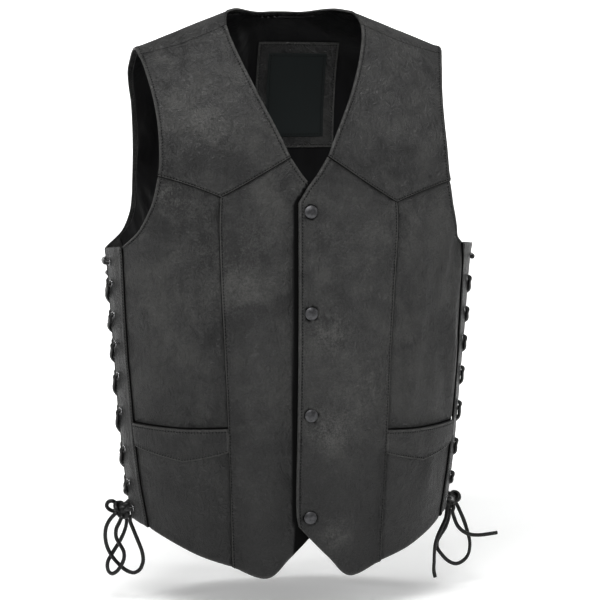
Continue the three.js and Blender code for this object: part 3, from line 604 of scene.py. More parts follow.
# Edges of the pieces, as smooth lines through a few pattern points, counted in the CAD's cells
def spline(points, t):
    points = np.asarray(points, float)
    p = np.clip(t, 0, 1) * (len(points) - 1)
    i = np.minimum(p.astype(int), len(points) - 2)
    w = (p - i)[:, None]
    before, here, after, beyond = (points[np.clip(i + k, 0, len(points) - 1)] for k in (-1, 0, 1, 2))
    leave, arrive = (after - before) / 2, (beyond - here) / 2
    cubic = 2 * here - 2 * after + leave + arrive
    square = -3 * here + 3 * after - 2 * leave - arrive
    return cubic * w ** 3 + square * w ** 2 + leave * w + here


class Edge:
    def __init__(self, points, cells, runs=None):
        self.runs = runs or [(points, cells)]
        self.cells = sum(cells for _, cells in self.runs)

    def __add__(self, other):
        return Edge(None, None, self.runs + other.runs)

    def at(self, k):
        k = np.asarray(k, float)
        out = np.empty((len(k), 2))
        start = 0
        for points, cells in self.runs:
            here = k >= start - 1e-9
            out[here] = spline(points, (k[here] - start) / cells)
            start += cells
        return out

    def length(self):
        points = self.at(np.linspace(0, self.cells, 40))
        return np.linalg.norm(np.diff(bare_form(points[:, 0], points[:, 1]), axis=0), axis=1).sum()


NECK_COLUMNS = 4
ARM_COLUMNS = 4
YOKE_ROWS = 8
HEM_ROWS = 5
STRIP_ROWS = 5
ARMHOLE_ROWS = 5
NECK_ROWS = 2
BACK_NECK_COLUMNS = 7
BACK_SIDE_ROWS = 8
BACK_ARMHOLE_ROWS = 13

BACK_FADE = 4

# The fronts hang a little unevenly, as worn. Each has the heights of its yoke seam and pocket line, its
# armhole from the underarm up, and how far its laced strip's seam and edge stop before the vest's side at
# some heights.
FRONTS = (
    {
        "name": "right", "sign": -1, "yoke_point": -209, "yoke_arm": -171, "pocket": -483,
        "armhole": ((214, -258), (203, -246), (193, -228), (184.5, -206)),
        "heights": (-610, -490, -400, -330, -277), "seam": (45, 43, 43, 46, 53), "edge": (4, 2, 3, 6, 4),
    },
    {
        "name": "left", "sign": 1, "yoke_point": -218, "yoke_arm": -183, "pocket": -491,
        "armhole": ((202, -263), (196.5, -250), (190.5, -235), (183, -212)),
        "heights": (-610, -490, -400, -330, -277), "seam": (52, 52, 53, 57, 74), "edge": (19, 20, 20, 22, 24),
    },
)
SHOULDER_NECK = front(82, -13)
SHOULDER_TIP = front(186, -8)
YOKE_NECK = front(22, -174)
FRONT_BREAK = front(-14.5, -223)
FRONT_FOOT = front(-14, -602)
SHOULDER_SEAM = Edge([SHOULDER_NECK, front(127, -14), front(152, -12.5), SHOULDER_TIP],
                     NECK_COLUMNS + ARM_COLUMNS)


def strip_at(side, line, z):
    """How far the laced strip's seam or edge stops before the vest's side."""
    return np.interp(z, side["heights"], side[line])


def back_side(z):
    return back(side_run(z, True) - BACK_TO_SIDE, z)


def front_edges(side):
    def strip_seam(z):
        return front(side_run(z) - strip_at(side, "seam", z), z)

    def strip_edge(z):
        return front(side_run(z) - strip_at(side, "edge", z), z)

    point = front(105, side["yoke_point"])
    arm = front(177, side["yoke_arm"])
    pocket = side["pocket"]
    underarm = strip_seam(UNDERARM + 5)
    pocket_seam = front(97, pocket)
    hem_princess = front(91, -651)
    hem_strip = strip_seam(-611)
    edge_rows = HEM_ROWS + STRIP_ROWS + ARMHOLE_ROWS - NECK_ROWS
    return {
        "yoke_neck_side": Edge([YOKE_NECK, point], NECK_COLUMNS),
        "yoke_arm_side": Edge([point, arm], ARM_COLUMNS),
        "neckline": Edge([YOKE_NECK, front(34, -148), front(47.5, -119), front(61, -86.5), front(72.5, -54),
                          front(79.5, -29), SHOULDER_NECK], YOKE_ROWS),
        "neck_point": Edge([FRONT_BREAK, front(-3, -207), front(9, -193), YOKE_NECK], NECK_ROWS),
        "front_edge": Edge([FRONT_FOOT, front(-17, -575), front(-16, -480), front(-LAP, -370),
                            front(-LAP, -270), FRONT_BREAK], edge_rows),
        "armhole_above": Edge([arm, front(174.5, -146), front(173.5, -104), front(175.5, -68),
                               front(181, -30), SHOULDER_TIP], YOKE_ROWS),
        "armhole_below": Edge([underarm, *(front(u, z) for u, z in side["armhole"]), arm], ARMHOLE_ROWS),
        "princess_above": Edge([pocket_seam, front(101, -392), front(105, -306), front(106.5, -245), point],
                               STRIP_ROWS + ARMHOLE_ROWS),
        "princess_below": Edge([hem_princess, front(94, -560), pocket_seam], HEM_ROWS),
        "pocket_line": Edge([pocket_seam, front(150, pocket - 2), strip_seam(pocket)], ARM_COLUMNS),
        "strip_seam_above": Edge([strip_seam(pocket), strip_seam(-400), strip_seam(-330), underarm],
                                 STRIP_ROWS),
        "strip_seam_below": Edge([hem_strip, strip_seam(-550), strip_seam(pocket)], HEM_ROWS),
        "strip_edge": Edge([strip_edge(-606), strip_edge(-550), strip_edge(pocket)], HEM_ROWS)
        + Edge([strip_edge(pocket), strip_edge(-400), strip_edge(-330), strip_edge(UNDERARM)], STRIP_ROWS),
        "strip_top": Edge([underarm, strip_edge(UNDERARM)], 2),
        "strip_foot": Edge([hem_strip, strip_edge(-606)], 2),
        "hem_centre": Edge([FRONT_FOOT, front(22, -640), front(50, -665), hem_princess], NECK_COLUMNS),
        "hem_side": Edge([hem_princess, front(130, -640), front(172, -623), hem_strip], ARM_COLUMNS),
    }


BACK_EDGES = {
    "hem": Edge([back(0, -612), back(120, -611), back_side(-607)],
                BACK_NECK_COLUMNS + NECK_COLUMNS + ARM_COLUMNS),
    "middle": Edge([back(0, -612), back(0, -450), back(0, -281)], BACK_SIDE_ROWS)
    + Edge([back(0, -281), back(0, -200), back(0, -120), back(0, -60), back(0, -22.5)], BACK_ARMHOLE_ROWS),
    "outer": Edge([back_side(-607), back_side(-500), back_side(-390), back_side(-281)], BACK_SIDE_ROWS)
    + Edge([back_side(-281), back(226, -273), back(205, -262), back(191, -243), back(184, -221),
            back(180, -190), back(178, -150), back(179, -110), back(182, -75), back(187, -48),
            back(190, -26), back(189, -10),
            front(187.5, -1), SHOULDER_TIP], BACK_ARMHOLE_ROWS),
    "top": Edge([back(0, -22.5), back(26, -17.5), back(45, -9.5), back(62, -2), (75, 0), front(80, -4.5),
                 SHOULDER_NECK], BACK_NECK_COLUMNS) + SHOULDER_SEAM,
}

# How an edge is finished: a folded one that lies over its neighbour, one that runs under it, a plain seam,
# or a free edge with its turning inside
OVER, UNDER, PLAIN, FREE = "over", "under", "plain", "free"
GRID_STEP = 3.6
NEAR_EDGE = (0.5, 1.2, 2.1, 3.1, 4.0, 5.0, 6.2, 8.0)
TOPSTITCH = 4.6


def grid_lines(cells, length, keep=()):
    """Where a grid's lines run, in cells: close together by both edges, and evenly between them."""
    near = np.array((0, *NEAR_EDGE)) / length * cells
    count = max(2, round((length - 2 * NEAR_EDGE[-1]) / GRID_STEP))
    middle = np.linspace(near[-1], cells - near[-1], count + 1)
    for k in keep:
        middle[np.argmin(np.abs(middle - k))] = k
    return np.concatenate([near[:-1], middle, cells - near[-2::-1]])


def coons(bottom, top, inner, outer, columns, rows, fade=1):
    """Pattern points between four edges, as the CAD's patches have them."""
    c = (columns / bottom.cells)[None, :, None]
    r = (rows / inner.cells)[:, None, None]
    near, far = inner.at(rows)[:, None], outer.at(rows)[:, None]
    grid = near * (1 - c) + far * c
    for edge, keep in ((bottom, 1 - r), (top, r ** fade)):
        line = edge.at(columns)[None]
        ends = edge.at(np.array([0.0, edge.cells]))
        grid = grid + keep * (line - ends[0] * (1 - c) - ends[1] * c)
    return grid


SIDES = ("bottom", "top", "inner", "outer")


class Panel:
    """One cut piece: its pattern points, how far each lies from the four edges, and its heights."""

    def __init__(self, name, sign, edges, rims, base, keep_rows=(), keep_columns=()):
        self.name, self.sign, self.rims = name, sign, rims
        bottom, top, inner, outer = edges
        self.rows = grid_lines(inner.cells, (inner.length() + outer.length()) / 2, keep_rows)
        self.columns = grid_lines(bottom.cells, (bottom.length() + top.length()) / 2, keep_columns)
        grid = coons(*edges, self.columns, self.rows)
        grid[..., 0] *= sign
        self.grid = self.drawn_out(grid)
        self.measure()
        u, station = self.grid[..., 0], self.grid[..., 1]
        self.height = base(u) + bumps(CREASES, u, station) + self.unevenness() + self.rim_height()
        if name == "front_centre_left":
            self.height -= 0.6 * np.exp(-((self.from_snap() - SNAP_RADIUS) / 2.2) ** 2)

    def lines(self, side):
        """The kinds of an edge, as (kind, stitched at, from cell, to cell), one or several."""
        rim = self.rims[side]
        return rim if isinstance(rim, list) else [(*rim, -1, 1e9)]

    def along(self, side):
        """Which grid lines cross an edge's stretch."""
        return self.columns if side in ("bottom", "top") else self.rows

    def drawn_out(self, grid):
        """A folded edge reaches a little past the seam, over its neighbour."""
        out = grid.copy()
        every = slice(None)
        pairs = (((0,), (1,)), ((-1,), (-2,)), ((every, 0), (every, 1)), ((every, -1), (every, -2)))
        for side, (line, following) in zip(SIDES, pairs):
            for kind, _, low, high in self.lines(side):
                reach = {OVER: 1.3, UNDER: 0.5, PLAIN: 0.05, FREE: 0.0}[kind]
                edge, beside = grid[line], grid[following]
                gap = np.linalg.norm(bare_form(*edge.T) - bare_form(*beside.T), axis=-1)
                k = self.along(side)
                here = (k >= low) & (k <= high)
                moved = edge + (edge - beside) * (reach / gap)[:, None]
                out[line] = np.where(here[:, None], moved, out[line])
        return out

    def measure(self):
        points = bare_form(self.grid[..., 0], self.grid[..., 1])
        across = np.linalg.norm(np.diff(points, axis=1), axis=-1)
        up = np.linalg.norm(np.diff(points, axis=0), axis=-1)
        run_across = np.concatenate([np.zeros((len(points), 1)), np.cumsum(across, axis=1)], axis=1)
        run_up = np.concatenate([np.zeros((1, points.shape[1])), np.cumsum(up, axis=0)], axis=0)
        self.run_across, self.run_up = run_across, run_up
        self.distance = {"inner": run_across, "outer": run_across[:, -1:] - run_across,
                         "bottom": run_up, "top": run_up[-1:] - run_up}
        cell = (across[:-1] + across[1:]) / 2 * (up[:, :-1] + up[:, 1:]) / 2
        self.area = cell.sum()

    def rim_height(self):
        total = np.zeros(self.run_across.shape)
        for side in SIDES:
            away = self.distance[side]
            run = self.run_up if side in ("inner", "outer") else self.run_across
            for kind, stitched, low, high in self.lines(side):
                total += np.where(self.within(side, low, high), self.profile(kind, away, run, stitched), 0)
        return total

    def within(self, side, low, high):
        """Which of the grid's points lie along a stretch of an edge."""
        k = self.along(side)
        here = (k >= low) & (k <= high)
        return here[:, None] if side in ("inner", "outer") else here[None, :]

    def profile(self, kind, away, run, stitched=0):
        """The height that an edge adds, by the distance from it and along it."""
        if kind == UNDER:
            return -0.9 * (1 - smooth(away, 1, 6))
        if kind == PLAIN:
            return -0.7 * (1 - smooth(away, 0, 3.5))
        lift, reach = (1.5, 9) if kind == OVER else (0.55, 12)
        total = lift * (1 - smooth(away, 4, reach)) - 0.75 * (1 - smooth(away, 0, 1.3))
        if stitched:
            waves = np.sin(run / 1.45 + 2.4 * np.sin(run / 19)) * (0.6 + 0.4 * np.sin(run / 7.3))
            total += 0.3 * np.exp(-((away - stitched * 0.5) / (stitched * 0.3)) ** 2)
            total += -0.42 * np.exp(-((away - stitched) / 0.9) ** 2)
            total += 0.2 * waves * np.exp(-(away - stitched) / 3.5) * smooth(away, stitched, stitched + 1.2)
        return total

    def unevenness(self):
        """The leather's own soft waves."""
        u, station = self.grid[..., 0], self.grid[..., 1]
        places = np.stack([u / 46, section(station)[..., HEIGHT] / 70, np.sign(station)], axis=-1)
        places = places.reshape(-1, 3)
        wave = np.array([noise.noise(Vector(p)) + 0.35 * noise.noise(Vector(p) * 2.9) for p in places])
        return 1.0 * wave.reshape(u.shape) * smooth(np.abs(u) + 30 * (station < 0), 15, 45)

    def rim_distance(self):
        free = np.full(self.run_across.shape, 99.0)
        for side in SIDES:
            for kind, _, low, high in self.lines(side):
                if kind in (FREE, OVER):
                    free = np.where(self.within(side, low, high), np.minimum(free, self.distance[side]), free)
        return free

    def stitch_distance(self):
        """How far each point lies past the nearest line of stitches, and how far along that line."""
        nearest = np.full(self.run_across.shape, 99.0)
        along = np.zeros(nearest.shape)
        for side in SIDES:
            run = self.run_up if side in ("inner", "outer") else self.run_across
            for _, stitched, low, high in self.lines(side):
                away = self.distance[side] - stitched
                near = self.within(side, low, high) & (np.abs(away) < np.abs(nearest)) & (stitched > 0)
                nearest, along = np.where(near, away, nearest), np.where(near, run, along)
        return nearest, along

    def crevice(self):
        """How much painted shade each point takes, from 0 to 1: in the seams, in a band under the lap's edge
        and in a ring round each snap cap.
        """
        shade_amount = np.zeros(self.run_across.shape)
        for side in SIDES:
            for kind, _, low, high in self.lines(side):
                reach = {UNDER: 1.9, PLAIN: 1.1, OVER: 0.4, FREE: 0}[kind]
                if reach:
                    depth = 1 - smooth(self.distance[side], reach / 2, reach)
                    shade_amount = np.where(self.within(side, low, high), np.maximum(shade_amount, depth), shade_amount)
        if self.name == "front_centre_right":
            shade_amount = np.maximum(shade_amount, lap_shade(self.grid[..., 0], self.grid[..., 1]))
        # A ring of painted shade round each snap cap
        if self.name == "front_centre_left":
            shade_amount = np.maximum(shade_amount, 1 - smooth(self.from_snap(), SNAP_RADIUS + 0.3, SNAP_RADIUS + 1.3))
        return shade_amount

    def from_snap(self):
        """The distance to the nearest snap's middle."""
        u, z = self.grid[..., 0], section(self.grid[..., 1])[..., HEIGHT]
        return np.minimum.reduce([np.hypot(u, z - height) for height in SNAP_HEIGHTS])

    def stitch_lines(self):
        """The lines of stitches, as points in millimetres."""
        found = []
        for side in SIDES:
            for _, stitched, low, high in self.lines(side):
                if not stitched:
                    continue
                upright = side in ("inner", "outer")
                away, u, station, height = (a if upright else a.T for a in (
                    self.distance[side], self.grid[..., 0], self.grid[..., 1], self.height))
                if side in ("outer", "top"):
                    away, u, station, height = (a[:, ::-1] for a in (away, u, station, height))
                k = self.along(side)
                rows = [i for i in range(len(k)) if low <= k[i] <= high]
                line = np.array([[np.interp(stitched, away[i], a[i]) for a in (u, station, height)]
                                 for i in rows])
                ends = self.other_ends(side)
                line = line[ends[0]:len(line) - ends[1]]
                if len(line) > 2:
                    found.append(on_vest(line[:, 0], line[:, 1], line[:, 2] + 0.12))
        return found

    def other_ends(self, side):
        """A line of stitches stops at the next edge's own line."""
        pair = ("bottom", "top") if side in ("inner", "outer") else ("inner", "outer")
        return [3 if any(stitched for _, stitched, _, _ in self.lines(other)) else 1 for other in pair]

    def build(self, material, thickness=LEATHER):
        u, station = self.grid[..., 0], self.grid[..., 1]
        outer = on_vest(u, station, self.height)
        inner = on_vest(u, station, self.height - thickness)
        rows, columns = u.shape
        points = np.concatenate([outer.reshape(-1, 3), inner.reshape(-1, 3)])
        worn = rubbed_at(u, station)
        stitch, run = self.stitch_distance()
        twice = {"worn": worn, "rim": self.rim_distance(), "stitch": stitch, "run": run,
                 "crevice": self.crevice()}
        attributes = {key: np.concatenate([value.ravel(), value.ravel()]) for key, value in twice.items()}
        thing = mesh_from(f"{self.name}_leather", points, wall_faces(rows, columns), material, attributes)
        sharp_rims(thing, 60)
        return thing


def lap_shade(u, station):
    """The painted shadow on the right front, just outside the edge of the left front that laps over it."""
    z = section(station)[..., HEIGHT]
    edge = np.interp(-z, LAP_EDGE[:, 0], LAP_EDGE[:, 1])
    width = np.interp(-z, LAP_EDGE[:, 0], LAP_EDGE[:, 2])
    return smooth((u - edge) / width, -1, -0.55)


def rubbed_at(u, station):
    z = section(station)[..., HEIGHT]
    total = np.zeros(np.shape(u))
    for middle, height, radius, strength in WORN:
        total += strength * np.exp(-((u - middle) ** 2 + (z - height) ** 2) / radius ** 2)
    return np.where(station < 0, 0, np.minimum(total, 1))


def pierce(thing, places, depth=8 * LEATHER):
    """Cuts round holes through a piece."""
    drill = bmesh.new()
    for u, station in places:
        turn = Vector((0, 0, 1)).rotation_difference(Vector(normals_at(u, station)))
        move = Matrix.Translation(Vector(on_vest(u, station, -LEATHER / 2)) * MM) @ turn.to_matrix().to_4x4()
        bmesh.ops.create_cone(drill, cap_ends=True, segments=20, radius1=HOLE_RADIUS * MM,
                              radius2=HOLE_RADIUS * MM, depth=depth * MM, matrix=move)
    mesh = bpy.data.meshes.new("drill")
    drill.to_mesh(mesh)
    drill.free()
    cutter = link("drill", mesh)
    cut = thing.modifiers.new("holes", "BOOLEAN")
    cut.operation, cut.solver, cut.object = "DIFFERENCE", "EXACT", cutter
    bake(thing)
    bpy.data.objects.remove(cutter)


def bake(thing):
    """Turns a piece and its modifiers into a plain mesh."""
    graph = bpy.context.evaluated_depsgraph_get()
    plain = bpy.data.meshes.new_from_object(thing.evaluated_get(graph), preserve_all_data_layers=True,
                                            depsgraph=graph)
    thing.modifiers.clear()
    thing.data = plain


def finish_piece(thing, slot, *nodes):
    """Hands a piece to the frame: it rides on the vest and stands for CAD nodes, which it hides. The slot is
    not used.
    """
    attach(thing, "root")
    if nodes:
        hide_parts(*nodes)
    return thing


stitch_rows = []


def add_panel(name, sign, edges, rims, base, material=BODY_LEATHER, holes=(), **keep):
    panel = Panel(name, sign, edges, rims, base, **keep)
    thing = panel.build(material)
    if len(holes):
        pierce(thing, holes)
    stitch_rows.extend(panel.stitch_lines())
    finish_piece(thing, "leather", name)
    area = panel.area * MM * MM
    return panel


# The eyelets' places, in pattern points
def front_eyelet(side, z):
    return front(side_run(z) - strip_at(side, "edge", z) - EYELET_INSET, z)


def back_eyelet(z):
    return back(side_run(z, True) - BACK_TO_SIDE - EYELET_INSET, z)


def on_side(place, sign):
    return (sign * place[0], place[1])


def add_front(side):
    name, sign = side["name"], side["sign"]
    e = front_edges(side)

    def lapped(u):
        return lap_height(u, sign)

    folded = (FREE, TOPSTITCH)
    add_panel(f"yoke_{name}", sign,
              (e["yoke_neck_side"] + e["yoke_arm_side"], SHOULDER_SEAM, e["neckline"], e["armhole_above"]),
              {"bottom": (OVER, 2.6), "top": (PLAIN, 0), "inner": folded, "outer": folded}, lapped,
              keep_columns=(NECK_COLUMNS,))
    add_panel(f"front_centre_{name}", sign,
              (e["hem_centre"], e["yoke_neck_side"], e["front_edge"] + e["neck_point"],
               e["princess_below"] + e["princess_above"]),
              {"bottom": (FREE, 0), "top": (UNDER, 0), "inner": folded, "outer": (OVER, 3.4)}, lapped,
              keep_rows=(HEM_ROWS, HEM_ROWS + STRIP_ROWS + ARMHOLE_ROWS - NECK_ROWS))
    add_panel(f"side_upper_{name}", sign,
              (e["pocket_line"], e["yoke_arm_side"], e["princess_above"],
               e["strip_seam_above"] + e["armhole_below"]),
              {"bottom": (UNDER, 0), "top": (UNDER, 0), "inner": (UNDER, 0),
               "outer": [(UNDER, 0, -1, STRIP_ROWS), (FREE, TOPSTITCH, STRIP_ROWS, 1e9)]}, lapped,
              keep_rows=(STRIP_ROWS,))
    add_panel(f"side_lower_{name}", sign,
              (e["hem_side"], e["pocket_line"], e["princess_below"], e["strip_seam_below"]),
              {"bottom": (FREE, 0), "top": (UNDER, 0), "inner": (UNDER, 0), "outer": (UNDER, 0)}, lapped)
    eyelets = [on_side(front_eyelet(side, z), sign) for z in EYELET_HEIGHTS]
    add_panel(f"lace_strip_{name}", sign,
              (e["strip_foot"], e["strip_top"], e["strip_seam_below"] + e["strip_seam_above"],
               e["strip_edge"]),
              {"bottom": (FREE, 0), "top": (FREE, 0), "inner": (OVER, 2.4), "outer": (FREE, 3.2)}, lapped,
              TRIM_LEATHER, eyelets, keep_rows=(HEM_ROWS,))
    add_welt(side, e)


# The pocket welt: a smooth strip with a folded top edge, standing over the pocket's mouth
WELT = {"top": 1, "ends": 29, "point": 41, "thickness": 2}


def add_welt(side, e):
    name, sign = side["name"], side["sign"]
    top = e["pocket_line"]
    columns = grid_lines(ARM_COLUMNS, top.length(), (ARM_COLUMNS / 2,))
    edges = (e["hem_side"], top, e["princess_below"], e["strip_seam_below"])
    rows = np.linspace(0, HEM_ROWS, 60)
    grid = coons(*edges, columns, rows)
    points = bare_form(grid[..., 0], grid[..., 1])
    steps = np.linalg.norm(np.diff(points, axis=0), axis=-1)
    down = np.concatenate([np.zeros((1, len(columns))), np.cumsum(steps[::-1], axis=0)])[::-1]
    point = np.abs(columns - ARM_COLUMNS / 2) / (ARM_COLUMNS / 2)
    far = WELT["point"] - (WELT["point"] - WELT["ends"]) * point
    shares = np.concatenate([[0, 0.6, 1.6, 3.2], np.linspace(6, 37, 8), [39.4, 40.4, 41]]) / 41
    pattern = np.empty((len(shares), len(columns), 2))
    for c in range(len(columns)):
        wanted = WELT["top"] + shares * (far[c] - WELT["top"])
        for axis in (0, 1):
            pattern[::-1, c, axis] = np.interp(wanted, down[::-1, c], grid[::-1, c, axis])
    pattern[..., 0] *= sign
    rims = {"bottom": (FREE, 2.6), "top": (FREE, 3.4), "inner": (FREE, 0), "outer": (FREE, 0)}
    welt = Panel.__new__(Panel)
    welt.name, welt.sign, welt.rims = f"pocket_welt_{name}", sign, rims
    welt.rows, welt.columns = np.arange(len(shares)), columns
    welt.grid = pattern
    welt.measure()
    bulge = 0.5 * np.sin(np.pi * np.clip(shares[::-1], 0, 1))[:, None]
    ends = smooth(np.minimum(welt.distance["inner"], welt.distance["outer"]), 0, 5)
    mouth = 1.2 * (1 - smooth(welt.distance["top"], 0, 9)) * ends
    rounding = -0.7 * sum(1 - smooth(welt.distance[side_name], 0, 1.5)
                          for side_name in ("bottom", "inner", "outer"))
    welt.height = LYING_GAP + WELT["thickness"] - 0.6 + bulge + mouth + rounding
    thing = welt.build(TRIM_LEATHER, WELT["thickness"])
    stitch_rows.extend(welt.stitch_lines())
    finish_piece(thing, "leather", welt.name)
    wide, long = welt.run_across.max() * MM, welt.run_up.max() * MM
    min(welt.area * MM * MM, wide * long)


for front_side in FRONTS:
    add_front(front_side)


# The back: the half with positive u is worked out, and the other half mirrors it
class BackPanel(Panel):
    def __init__(self):
        self.name, self.sign = "back", 1
        self.rims = {"bottom": (FREE, TOPSTITCH), "top": (FREE, 0), "inner": (FREE, 0),
                     "outer": (FREE, TOPSTITCH)}
        edges = tuple(BACK_EDGES[key] for key in ("hem", "top", "middle", "outer"))
        rows = grid_lines(edges[2].cells, (edges[2].length() + edges[3].length()) / 2, (BACK_SIDE_ROWS,))
        half_width = (edges[0].length() + edges[1].length()) / 2
        lines = grid_lines(edges[0].cells, half_width, (BACK_NECK_COLUMNS,))
        columns = np.concatenate([[0], lines[len(NEAR_EDGE):]])
        half = coons(*edges, columns, rows, BACK_FADE)
        other = half[:, :0:-1] * (-1, 1)
        self.grid = np.concatenate([other, half], axis=1)
        self.columns = np.concatenate([-columns[:0:-1], columns])
        self.rows = rows
        self.measure()
        neck = np.abs(self.columns) <= BACK_NECK_COLUMNS
        away = self.distance
        edge = np.minimum(away["inner"], away["outer"])
        self.height = 0.6 * self.unevenness() + self.profile(FREE, edge, self.run_up, TOPSTITCH)
        self.height += self.profile(FREE, away["bottom"], self.run_across, TOPSTITCH)
        self.height += np.where(neck[None, :], self.profile(FREE, away["top"], self.run_across, TOPSTITCH),
                                self.profile(PLAIN, away["top"], self.run_across))
        self.neck = neck

    def rim_distance(self):
        away = self.distance
        top = np.where(self.neck[None, :], away["top"], 99)
        return np.minimum.reduce([away["inner"], away["outer"], away["bottom"], top])

    def lines(self, side):
        if side == "top":
            return [(FREE, TOPSTITCH, -BACK_NECK_COLUMNS, BACK_NECK_COLUMNS)]
        return [(FREE, TOPSTITCH, -1e9, 1e9)]


def add_back():
    panel = BackPanel()
    thing = panel.build(BODY_LEATHER)
    pierce(thing, [on_side(back_eyelet(z), sign) for z in EYELET_HEIGHTS for sign in (-1, 1)])
    stitch_rows.extend(panel.stitch_lines())
    finish_piece(thing, "leather", "back")
    wide, long = panel.run_across.max() * MM, panel.run_up.max() * MM
    min(panel.area * MM * MM, wide * long)


add_back()


# Inside: the lining, and the label on it
LABEL = {"left": -21, "right": 80, "bottom": -167, "top": -33, "border": 14, "frame": 1.2, "woven": 0.8}
FRAME_DEPTH = LINING_DEPTH + LINING + LYING_GAP
WOVEN_DEPTH = FRAME_DEPTH + LABEL["frame"] + LYING_GAP


def add_lining():
    edges = tuple(BACK_EDGES[key] for key in ("hem", "top", "middle", "outer"))
    rows = np.linspace(0, edges[2].cells, 110)
    columns = np.linspace(0, edges[0].cells, 44)
    half = coons(*edges, columns, rows, BACK_FADE)
    drawn = half.copy()
    for line, beside, inset in ((0, 4, 14), (-1, -4, 2 * LINING_INSET)):
        gap = np.linalg.norm(bare_form(*half[line].T) - bare_form(*half[beside].T), axis=-1)
        drawn[line] = half[line] + (half[beside] - half[line]) * (inset / gap)[:, None]
    drawn = np.concatenate([drawn[:1], drawn[3:-3], drawn[-1:]])
    gap = np.linalg.norm(bare_form(*drawn[:, -1].T) - bare_form(*drawn[:, -3].T), axis=-1)
    drawn[:, -1] += (drawn[:, -3] - drawn[:, -1]) * (LINING_INSET / gap)[:, None]
    drawn[:, -2] = (drawn[:, -1] + drawn[:, -3]) / 2
    edge = drawn[:, -1]
    low = edge[:, 1] < -level_at(UNDERARM + 10)
    reach = side_run(section(edge[:, 1])[:, HEIGHT], True) - BACK_TO_SIDE - LINING_TO_SIDE
    drawn[..., 0] *= np.where(low, np.minimum(1, reach / edge[:, 0]), 1)[:, None]
    grid = np.concatenate([drawn[:, :0:-1] * (-1, 1), drawn], axis=1)
    u, station = grid[..., 0], grid[..., 1]
    z = section(station)[..., HEIGHT]
    places = np.stack([u / 26 + z / 60, z / 90, np.full(u.shape, 4.0)], axis=-1).reshape(-1, 3)
    folds = np.array([max(0, noise.noise(Vector(p))) + 0.4 * max(0, noise.noise(2.6 * Vector(p)))
                      for p in places])
    from_label = np.maximum(np.abs(u - 29) - 58, np.abs(z + 110) - 84)
    sag = 5 * folds.reshape(u.shape) * smooth(from_label, 0, 24) * smooth(np.abs(u), -1, 1)
    outer = on_vest(u, station, -LINING_DEPTH - sag)
    inner = on_vest(u, station, -LINING_DEPTH - LINING - sag)
    rows_count, columns_count = u.shape
    points = np.concatenate([outer.reshape(-1, 3), inner.reshape(-1, 3)])
    thing = mesh_from("lining_satin", points, wall_faces(rows_count, columns_count), LINING_SATIN)
    finish_piece(thing, "lining", "back_lining")


def back_at(x, z):
    """The pattern points of places inside the back, given by x and real height."""
    x, z = np.broadcast_arrays(np.asarray(x, float), np.asarray(z, float))
    u, ring = x.copy(), z.copy()
    for _ in range(8):
        point = bare_form(u, -level_at(ring))
        u = u + x - point[..., 0]
        ring = np.minimum(ring + z - point[..., 2], -1)
    return u, -level_at(ring)


def label_sheet(name, border, thickness, depth, relief, material, slot, node):
    """A flat piece that lies inside the back, with an upright outline."""
    left, right = LABEL["left"] + border, LABEL["right"] - border
    bottom, top = LABEL["bottom"] + border, LABEL["top"] - border
    near = np.array((0, 0.5, 1.5, 2.5, 3.5, 4.5, 6))
    x = np.concatenate([left + near, np.linspace(left + 10, right - 10, 16), (right - near)[::-1]])
    z = np.concatenate([bottom + near, np.linspace(bottom + 10, top - 10, 20), (top - near)[::-1]])
    x, z = np.meshgrid(x, z)
    away = np.minimum.reduce([x - left, right - x, z - bottom, top - z])
    u, station = back_at(x, z)
    face = -depth - thickness - relief(away)
    outer = on_vest(u, station, np.full(u.shape, -float(depth)))
    inner = on_vest(u, station, face)
    points = np.concatenate([outer.reshape(-1, 3), inner.reshape(-1, 3)])
    values = {"rim": away, "stitch": away - 3.0, "run": x + z, "worn": 0 * away, "crevice": 0 * away}
    attributes = {key: np.concatenate([value.ravel(), value.ravel()]) for key, value in values.items()}
    thing = mesh_from(name, points, wall_faces(*u.shape), material, attributes)
    sharp_rims(thing, 60)
    finish_piece(thing, slot, node)
    corners = [(left + 3, bottom + 3), (right - 3, bottom + 3), (right - 3, top - 3), (left + 3, top - 3)]
    run = [np.linspace(a, b, 12) for a, b in zip(corners, corners[1:] + corners[:1])]
    for line in run:
        u, station = back_at(line[:, 0], line[:, 1])
        stitch_rows.append(on_vest(u, station, np.full(len(u), -depth - thickness - 0.2)))


def frame_relief(away):
    """A pressed line round the frame, and a shallow bed for the woven label."""
    pressed = np.exp(-((away - 8) / 1.1) ** 2) * 0.5
    return 0.35 * smooth(away, 0, 1.5) - pressed


def woven_relief(away):
    return 0.3 * smooth(away, 0, 1) - 0.15 * np.exp(-((away - 3) / 1.2) ** 2)


add_lining()
label_sheet("label_frame_leather", 0, LABEL["frame"], FRAME_DEPTH, frame_relief, LABEL_LEATHER, "leather",
            "label_frame")
label_sheet("label_weave", LABEL["border"], LABEL["woven"], WOVEN_DEPTH, woven_relief, LABEL_WEAVE,
            "woven_label", "label")


# Stitches: one tree sets small rounded stitches along every line
STITCH = {"Pitch": STITCH_PITCH, "Length": 2.1, "Thickness": 1.15}


def tree_with_inputs(name, sizes):
    tree = bpy.data.node_groups.new(name, "GeometryNodeTree")
    tree.interface.new_socket("Geometry", in_out="INPUT", socket_type="NodeSocketGeometry")
    for key, value in sizes.items():
        socket = tree.interface.new_socket(key, in_out="INPUT", socket_type="NodeSocketFloat")
        socket.default_value = value
    tree.interface.new_socket("Geometry", in_out="OUTPUT", socket_type="NodeSocketGeometry")
    return tree


def grow(thing, tree, sizes):
    """Runs a tree on a piece, with its sizes given by name, and keeps the plain mesh."""
    modifier = thing.modifiers.new(tree.name, "NODES")
    modifier.node_group = tree
    for item in tree.interface.items_tree:
        if item.in_out == "INPUT" and item.name in sizes:
            modifier[item.identifier] = float(sizes[item.name])
    bake(thing)


